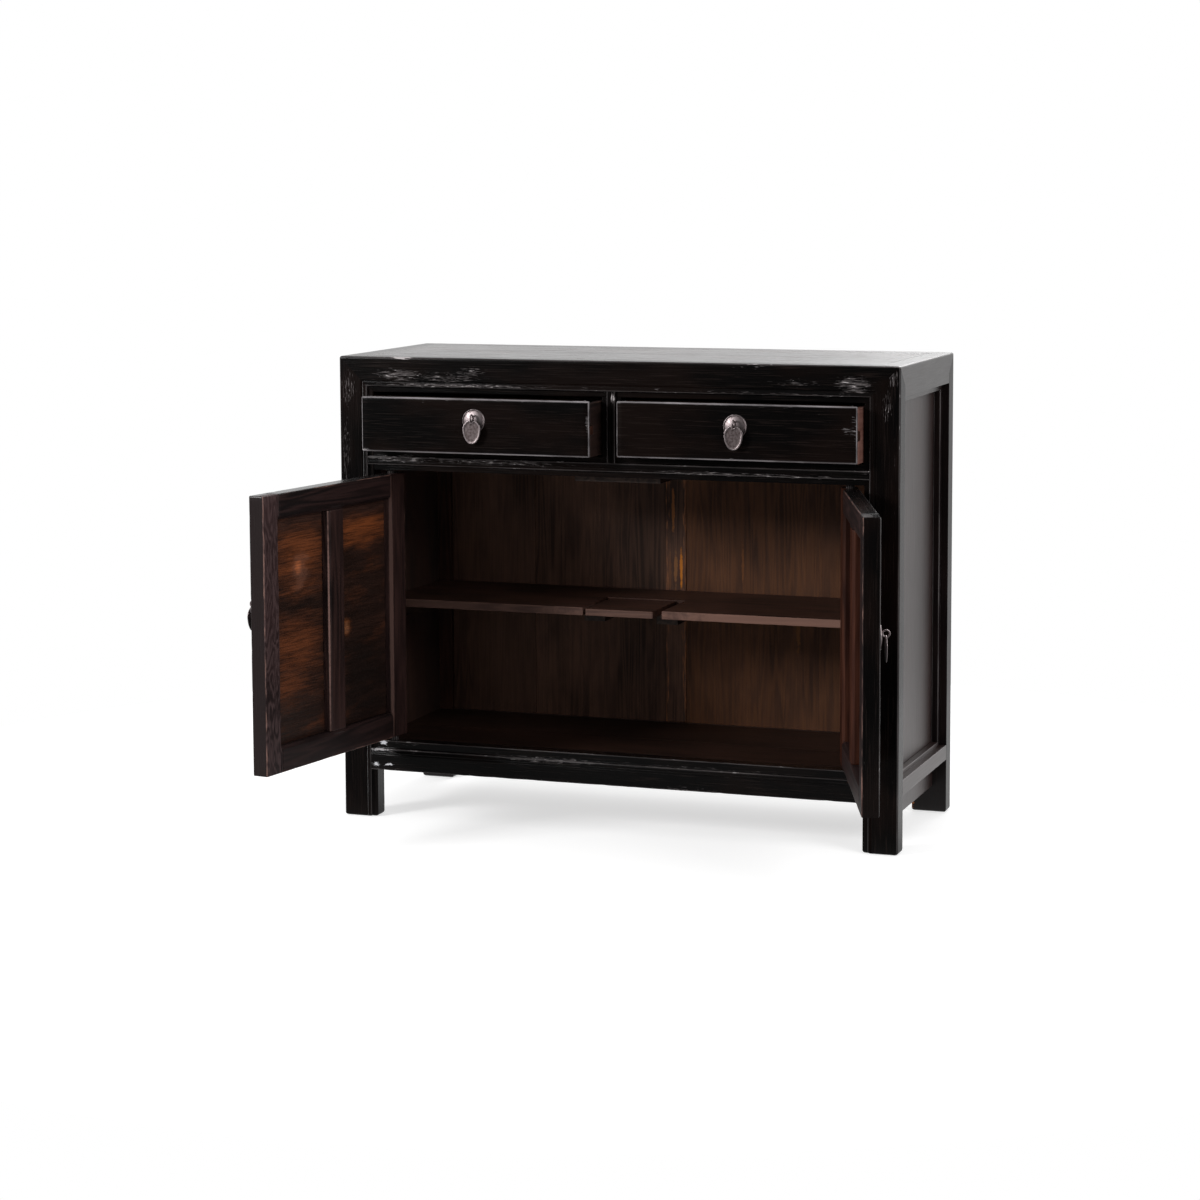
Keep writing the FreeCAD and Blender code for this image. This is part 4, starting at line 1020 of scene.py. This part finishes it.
# The middle board lies a little lower than its neighbours, and the notch is at its right.
for name, x0, x1, high, seed in (
    ("left", -shelf_reach, -0.0945, shelf_high, 26),
    ("middle", -0.0895, 0.039, shelf_high - 0.002, 27),
    ("right", 0.056, shelf_reach, shelf_high, 28),
):
    section = outline([
        (shelf_front, shelf_low, eased), (shelf_split, shelf_low, sharp),
        (shelf_split, high, sharp), (shelf_front, high, eased),
    ])
    shell = carried(section, along_x, x0, x1, seed=seed, within=beyond(1, shelf_front + 0.0015, -0.0006))
    piece("shelf_front_" + name, [shell], "shelf_wood")


# Drawers

def drawer_boards():
    """The front and the two sides of the right drawer, shut. The front's skin laps the sides, which
    run behind it round a pin in the middle."""
    y0 = drawer_y[0]
    z0, z1 = drawer_z
    lap, behind = y0 + drawer_lap, y0 + drawer_front_thick
    section = outline([
        (y0, z0, drawer_round), (lap, z0, 0), (behind, z0, sharp),
        (behind, z1, sharp), (lap, z1, 0), (y0, z1, drawer_round),
    ], 0.010)
    inset = np.where(section[0][:, 0] > lap + hair, drawer_side_thick, 0)
    front = carried(
        section, along_x, drawer_x[0] + inset, drawer_x[1] - inset, bite=0.0016, seed=31,
        within=beyond(1, behind - 0.003, 0.002),
    )
    front = rounded_within(front, (drawer_x[0], y0, z0), (drawer_x[1], half_width, z1), drawer_round)
    side_top = z1 - 0.004
    pin_low = (z0 + side_top) / 2 - pin_half
    pin_high = (z0 + side_top) / 2 + pin_half
    pins = []
    sides = []
    for k, x0 in enumerate((drawer_x[0], drawer_x[1] - drawer_side_thick)):
        x1 = x0 + drawer_side_thick
        pins.append(board(
            (lap, behind), (pin_low, pin_high), along_x, x0, x1, sharp, seed=33 + k,
            within=lambda spot: np.ones(len(spot)),
        ))
        section = outline([
            (z0, x0, eased), (pin_low, x0, 0), (pin_high, x0, 0), (side_top, x0, eased),
            (side_top, x1, eased), (pin_high, x1, 0), (pin_low, x1, 0), (z0, x1, eased),
        ])
        z = section[0][:, 0]
        start = np.where((z > pin_low - hair) & (z < pin_high + hair), behind, lap)
        sides.append(carried(section, along_y, start, drawer_y[1], seed=35 + k))
    return [front, *pins], sides


drawer_out = {}
for side in ("left", "right"):
    drawer_out[side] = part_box(side + "_drawer_front")[0].y - case_front - drawer_y[0]
    out = (0, drawer_out[side], 0)
    front, sides = (
        [moved(shell, out) for shell in sided(side, shells)] for shells in drawer_boards()
    )
    piece(side + "_drawer_front", front, "drawer_lacquer", side + "_drawer")
    piece(side + "_drawer_sides", sides, side + "_drawer_wood", side + "_drawer")


# Doors

def square_corner(points, corner, size, a_way, b_way):
    """The same points with one chamfer filled out to its square corner: those on the slope move onto
    the corner's two sides, the first half to one and the second half to the other."""
    a, b = points.T
    from_a = (a - corner[0]) * a_way
    from_b = (b - corner[1]) * b_way
    slope = np.abs(from_a + from_b - size) < size * 0.12
    slope &= (from_a > -1e-6) & (from_b > -1e-6)
    share = np.clip(from_a / size, 0, 1)
    new_a = np.where(share < 0.5, 0, 2 * share - 1) * size
    new_b = np.where(share < 0.5, 1 - 2 * share, 0) * size
    filled = np.stack([corner[0] + a_way * new_a, corner[1] + b_way * new_b], 1)
    return np.where(slope[:, None], filled, points)


def outside_openings(openings):
    """How much of the square corner is left: none beside an opening, growing to all within the
    chamfer's own width beyond it."""
    def amount(along):
        share = np.ones_like(along)
        for low, high in openings:
            past = np.maximum(low - along, along - high)
            share = np.minimum(share, np.clip(past / wide_chamfer, 0, 1))
        return share
    return amount


def door_inner_faces(spot):
    """The faces of a shut door that look into the cupboard: its back, and the sides of the panels'
    recesses."""
    x, y, z = spot.T
    margin = np.minimum(np.minimum(x - door_x[0], door_x[1] - x), np.minimum(z - door_z[0], door_z[1] - z))
    recess = np.minimum((margin - 0.020) / 0.002, (y - door_panel_y[1] - 0.0005) / 0.001)
    return np.maximum((y - door_y[1] + 0.003) / 0.002, recess)


def frame_member(inner_sides, outer_round, width_range, axes, start, end, seed):
    """A stile or rail of the right door. Each side that faces a panel has a wide chamfer inside and a
    small one outside; these run out to square corners beyond the openings."""
    y0, y1 = door_y
    stile = axes == along_z
    corners = []
    squares = []
    for w, way in zip(width_range, (1, -1)):
        side = [(w, y1, outer_round), (w, y0, outer_round)]
        if w in inner_sides:
            side = [
                (w + way * wide_chamfer, y1, play), (w, y1 - wide_chamfer, play),
                (w, y0 + small_chamfer, play), (w + way * small_chamfer, y0, play),
            ]
            squares += [((w, y1), wide_chamfer, way, -1), ((w, y0), small_chamfer, way, 1)]
        corners += side[::way]
    if not stile:
        corners = [(b, a, r) for a, b, r in corners]
    points, from_arris = outline(corners)
    full = points if stile else points[:, ::-1]
    for square in squares:
        full = square_corner(full, *square)
    full = full if stile else full[:, ::-1]
    other = (full, outside_openings([opening_z] if stile else openings_x))
    section = (points, from_arris)
    shell = carried(section, axes, start, end, seed=seed, other=other, bite=0.0009, within=door_inner_faces)
    return rounded_within(shell, *zip(door_x, door_y, door_z), door_round)


def door_shells():
    """All the boards of the right door, shut, by name."""
    turn = around(12)
    rod = outline(np.stack([
        pivot[0] + pivot_radius * np.cos(turn), pivot[1] + pivot_radius * np.sin(turn), 0 * turn + 0.002,
    ], 1))
    rod_low, rod_high = sill_top - pivot_reach, drawer_rail[0] + pivot_reach
    return {
        "hinge_stile": [
            frame_member([hinge_inner], 0.006, (hinge_inner, door_x[1]), along_z, *door_z, 41),
            carried(rod, along_z, rod_low, rod_high, step=0.1, bite=0, seed=42),
        ],
        "free_stile": [frame_member([free_inner], 0.002, (door_x[0], free_inner), along_z, *door_z, 43)],
        "middle_stile": [frame_member(middle_x, 0.001, middle_x, along_z, *opening_z, 44)],
        "lower_rail": [frame_member(
            [opening_z[0]], 0.002, (door_z[0], opening_z[0]), along_x, free_inner, hinge_inner, 45,
        )],
        "upper_rail": [frame_member(
            [opening_z[1]], 0.002, (opening_z[1], door_z[1]), along_x, free_inner, hinge_inner, 46,
        )],
        "panels": [
            board(
                (x0 - panel_groove, x1 + panel_groove), door_panel_y, along_z, opening_z[0] - panel_groove,
                opening_z[1] + panel_groove, play, 0.005, step=0.008, bite=0, seed=seed,
                within=beyond(1, sum(door_panel_y) / 2, 0.002),
            )
            for seed, (x0, x1) in enumerate(openings_x, 47)
        ],
    }


def door_paint(side, name):
    """The finish of one of a door's boards."""
    if name == "panels":
        return side + "_panel_wood"
    if name == "free_stile" and side == "left":
        return "door_stile_wood"
    if name == "free_stile" or "rail" in name:
        return "door_rail_wood"
    return "inner_stile_wood" if side == "left" else "right_stile_wood"


for side in ("left", "right"):
    for name, shells in door_shells().items():
        shells = [swung(shell, side) for shell in sided(side, shells)]
        slot = "door_panel_wood" if name == "panels" else "black_lacquer"
        piece("%s_door_%s" % (side, name), shells, door_paint(side, name), side + "_door")


# Pulls

def metal_shell(points, hollow, closed=True):
    """A shell from a grid of points; hollow says how deep in a hollow each lies. Its faces are turned
    if they enclose a negative volume, the sum of a . (b x c) / 6 over their triangles."""
    quads, caps = grid_faces(*points.shape[:2], closed)
    flat = points.reshape(-1, 3)
    a, b, c, d = (flat[quads[:, k]] for k in range(4))
    volume = np.sum(a * np.cross(b, c)) + np.sum(a * np.cross(c, d))
    for cap in caps:
        fan = flat[cap]
        volume += np.sum(fan[0] * np.cross(fan[1:-1], fan[2:]))
    if volume < 0:
        quads, caps = quads[:, ::-1], [cap[::-1] for cap in caps]
    edge = np.zeros_like(flat)
    edge[:, 0] = hollow.ravel()
    return flat, quads, caps, flat.copy(), edge, flat.copy(), np.zeros(len(flat))


def pull_plate():
    """The round plate, a surface of revolution: radius and height along a line from the middle, over
    the dome h = foot + rise (1 - (r/R)^2), over the raised rim and flat back to the middle; and its
    eye, a ring (R + r cos v) turned about its own centre."""
    dome_radius = plate_radius - rim_width
    s = np.linspace(0.0, 1.0, 14)
    t = np.linspace(0.12, 1.0, 8)
    back = np.linspace(0.97, 0.0, 4)
    dome = rim_foot + (plate_height - rim_foot) * (1 - s ** 2)
    rim = rim_foot * (1 - t) + 4 * (rim_crest - rim_foot / 2) * t * (1 - t)
    radius = np.concatenate([dome_radius * s, dome_radius + rim_width * t, plate_radius * back])
    radius = np.maximum(radius, 0.00002)
    height = np.concatenate([dome, rim, 0 * back])
    hollow = np.concatenate([np.clip((s - 0.75) * 4, 0, 1), np.clip(1 - t * 4, 0, 1), 1 + 0 * back])
    turn = around(56)
    uneven = np.minimum(1 + 0.004 * np.sin(3 * turn + 1) + 0.003 * np.sin(7 * turn), 1.0)
    x = radius[:, None] * np.cos(turn) * uneven
    z = radius[:, None] * np.sin(turn) * uneven
    plate = np.stack([x, np.broadcast_to(-height[:, None], x.shape), z], -1)
    u, v = around(40)[:, None], around(12)[None, :]
    ring = eye_radius + eye_wire * np.cos(v)
    eye = np.stack([
        eye_wire * np.sin(v) + 0 * u, ring * np.cos(u) - eye_reach, ring * np.sin(u) + eye_rise,
    ], -1)
    hollows = np.broadcast_to(hollow[:, None], x.shape)
    return [metal_shell(plate, hollows, False), metal_shell(eye, np.zeros(eye.shape[:2]))]


leaf_widths = np.array([0.36, 0.72, 0.95, 1.0, 0.93, 0.79, 0.56, 0.3])
leaf_drops = np.array([0.035, 0.14, 0.28, 0.42, 0.6, 0.76, 0.9, 0.975])


def egg_outline(count=96):
    """The leaf's egg outline: a smooth closed curve, the sum of the sine and cosine waves that pass
    through its eighteen places."""
    width, length = leaf_size
    right = np.stack([leaf_widths * width / 2, leaf_top - length * leaf_drops], 1)
    left = right[::-1] * np.array([-1, 1])
    places = np.concatenate([[[0, leaf_top]], right, [[0, leaf_top - length]], left])
    waves = np.fft.fft(places[:, 0] + 1j * places[:, 1])
    half = len(waves) // 2
    padded = np.zeros(count, complex)
    padded[:half] = waves[:half]
    padded[-half + 1:] = waves[-half + 1:]
    padded[[half, -half]] = waves[half] / 2
    curve = np.fft.ifft(padded) * count / len(waves)
    return np.stack([curve.real, curve.imag], 1)


def pull_leaf():
    """The hanging leaf: rings that pass from its egg outline to its hole, R(s) = (1-s) egg + s hole,
    over the front, through the hole and back again over the back. The front is highest on the
    border and round the hole, and dished between."""
    egg = egg_outline()
    centre = np.array([0, hole_height])
    away = egg - centre
    angle = np.arctan2(away[:, 1], away[:, 0])
    hole = centre + hole_radius * np.stack([np.cos(angle), np.sin(angle)], 1)
    share = [0.0, 0.02, 0.05, 0.1, 0.16, 0.22, 0.3, 0.4, 0.52, 0.64, 0.75, 0.85, 0.93, 0.98, 1.0]
    share = np.array(share)[:, None, None]
    front = egg * (1 - share) + hole * share
    apart = np.linalg.norm(front[:, :, None, :] - egg[None, None, :, :], axis=-1).min(-1)
    collar = np.linalg.norm(front - centre, axis=-1) - hole_collar
    inward = np.clip(np.minimum(apart - leaf_rim * 0.62, collar) / leaf_slope, 0, 1)
    inward = inward * inward * (3 - 2 * inward)
    front_y = leaf_dish * inward + 0.0005 * (1 - np.clip(apart / leaf_slope, 0, 1)) ** 2
    back_y = np.full(front_y.shape, leaf_thick)
    back_y[-1] -= 0.0003
    points = np.concatenate([front, front[::-1]])
    depth = np.concatenate([front_y, back_y]) - eye_reach - leaf_thick / 2
    solid = np.stack([points[..., 0], depth, points[..., 1]], -1)
    return [metal_shell(solid, np.concatenate([inward, np.ones_like(inward)]))]


for side, way in (("left", -1), ("right", 1)):
    drawer_place = (way * sum(drawer_x) / 2, drawer_y[0] + drawer_out[side], drawer_pull_z)
    door_place = (way * (door_x[0] + free_inner) / 2, door_y[0], door_pull_z)
    for name, body, shells in (("plate", "", pull_plate()), ("leaf", "_leaf", pull_leaf())):
        on_drawer = [moved(shell, drawer_place) for shell in shells]
        on_door = [swung(moved(shell, door_place), side) for shell in shells]
        for part, shells_there in (("_drawer", on_drawer), ("_door", on_door)):
            pull = "%s%s_pull_%s" % (side, part, name)
            piece(pull, shells_there, "pull_pewter", side + part + body)


# Parts inside that keep the frame's own shape
for paint, names in (
    ("hidden_wood_x", (
        "back_drawer_rail", "left_drawer_back", "right_drawer_back", "left_drawer_bottom",
        "right_drawer_bottom",
    )),
    ("hidden_wood_y", (
        "top_battens", "floor_battens", "shelf_side_bearers", "shelf_cleats", "middle_runner",
        "side_runners",
    )),
):
    for name in names:
        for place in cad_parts[name].material_slots:
            place.material = finishes[paint]


# Floor, world, lamps and camera
scene = bpy.context.scene
scene.view_settings.view_transform = "Standard"


def studio_floor():
    """A wide plain floor that is white to the camera but for the shadow that it keeps. To gloss it
    is dark before the cabinet and pale behind it."""
    turn, reach, low = around(64), 1.7, -0.0006
    corners = np.stack([reach * np.cos(turn), reach * np.sin(turn), 0 * turn + low], 1).tolist()
    mesh = bpy.data.meshes.new("studio_floor")
    mesh.from_pydata(corners, [], [list(range(len(corners)))])
    made = bpy.data.materials.new("studio_floor")
    tree = bare_tree(made)
    rays = node(tree, "ShaderNodeLightPath")
    glossy = Field(rays, "Is Glossy Ray")
    place = Field(node(tree, "ShaderNodeTexCoord"), "Object")
    behind = Field(node(tree, "ShaderNodeSeparateXYZ", {0: place}), 1)
    behind = ramp(behind, -0.25, 0.35, 0.06, 0.80)
    paper = node(tree, "ShaderNodeBsdfDiffuse", {"Color": glossy * -0.52 + 0.62})
    seen = Field(rays, "Is Camera Ray") * 0.62 + glossy * behind
    glow = node(tree, "ShaderNodeEmission", {"Strength": seen})
    both = node(tree, "ShaderNodeAddShader", {0: Field(paper), 1: Field(glow)})
    node(tree, "ShaderNodeOutputMaterial", {0: Field(both)})
    mesh.materials.append(made)
    floor = placed("studio_floor", mesh)
    floor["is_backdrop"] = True


def studio_world():
    """White to the camera. To gloss it is white behind and above the cabinet and darker in front of
    it, as in a studio with a lit backdrop. To the rest it is an even soft light."""
    scene.world = bpy.data.worlds.new("studio")
    tree = bare_tree(scene.world)
    rays = node(tree, "ShaderNodeLightPath")
    glossy = Field(rays, "Is Glossy Ray")
    seen = Field(rays, "Is Camera Ray").most(Field(rays, "Is Transmission Ray"))
    way = Field(node(tree, "ShaderNodeTexCoord"), "Generated")
    parts = node(tree, "ShaderNodeSeparateXYZ", {0: way})
    backdrop = ramp(Field(parts, 1), -0.30, 0.30, 0.04, 1.0) * ramp(Field(parts, 2), -0.03, 0.04, 0.70, 1.0)
    level = glossy * backdrop + (glossy * -1.0 + 1.0) * 0.58
    level = seen + (seen * -1.0 + 1.0) * level
    background = node(tree, "ShaderNodeBackground", {"Color": (1, 1, 1, 1), "Strength": level})
    node(tree, "ShaderNodeOutputWorld", {0: Field(background)})


def soft_lamp(name, place, target, size, power):
    """A square soft lamp that looks at a target."""
    data = bpy.data.lights.new(name, "AREA")
    data.size = size
    data.energy = power
    lamp = placed(name, data)
    back = np.array(place) - np.array(target)
    lift = math.atan2(math.hypot(back[0], back[1]), back[2])
    lamp.location = place
    lamp.rotation_euler = (lift, 0, math.atan2(back[0], -back[1]))


studio_floor()
studio_world()
soft_lamp("front_lamp", (-2.75, -3.1, 2.0), (0, 0, 0.4), 1.0, 115)
soft_lamp("right_lamp", (3.2, -1.6, 2.2), (0.2, 0, 0.5), 1.6, 40)
soft_lamp("back_lamp", (0.4, 3.4, 2.8), (0, 0, 0.5), 2.2, 60)


def photo_camera():
    """The camera of the photograph, solved from the case's corners. Its rows right, down and ahead
    are roll times pitch times an upright camera times yaw."""
    roll = Matrix.Rotation(math.radians(-0.27), 3, "Z")
    pitch = Matrix.Rotation(math.radians(6.05), 3, "X")
    yaw = Matrix.Rotation(math.radians(-19.84), 3, "Z")
    right, down, ahead = roll @ pitch @ Matrix(((1, 0, 0), (0, 0, -1), (0, 1, 0))) @ yaw
    data = bpy.data.cameras.new("photo_camera")
    camera = placed("photo_camera", data)
    pose = Matrix((right, -down, -ahead)).transposed().to_4x4()
    pose.translation = (1.72481 + case_middle, -4.88752 + case_front, 1.18372)
    camera.matrix_world = pose
    picture, focal_length, centre = 1200, 2969, (590, 480)
    data.sensor_width = 36
    data.lens = focal_length * data.sensor_width / picture
    data.shift_x = (picture / 2 - centre[0]) / picture
    data.shift_y = (centre[1] - picture / 2) / picture
    data.clip_end = 60
    scene.camera = camera


photo_camera()

low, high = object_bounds()
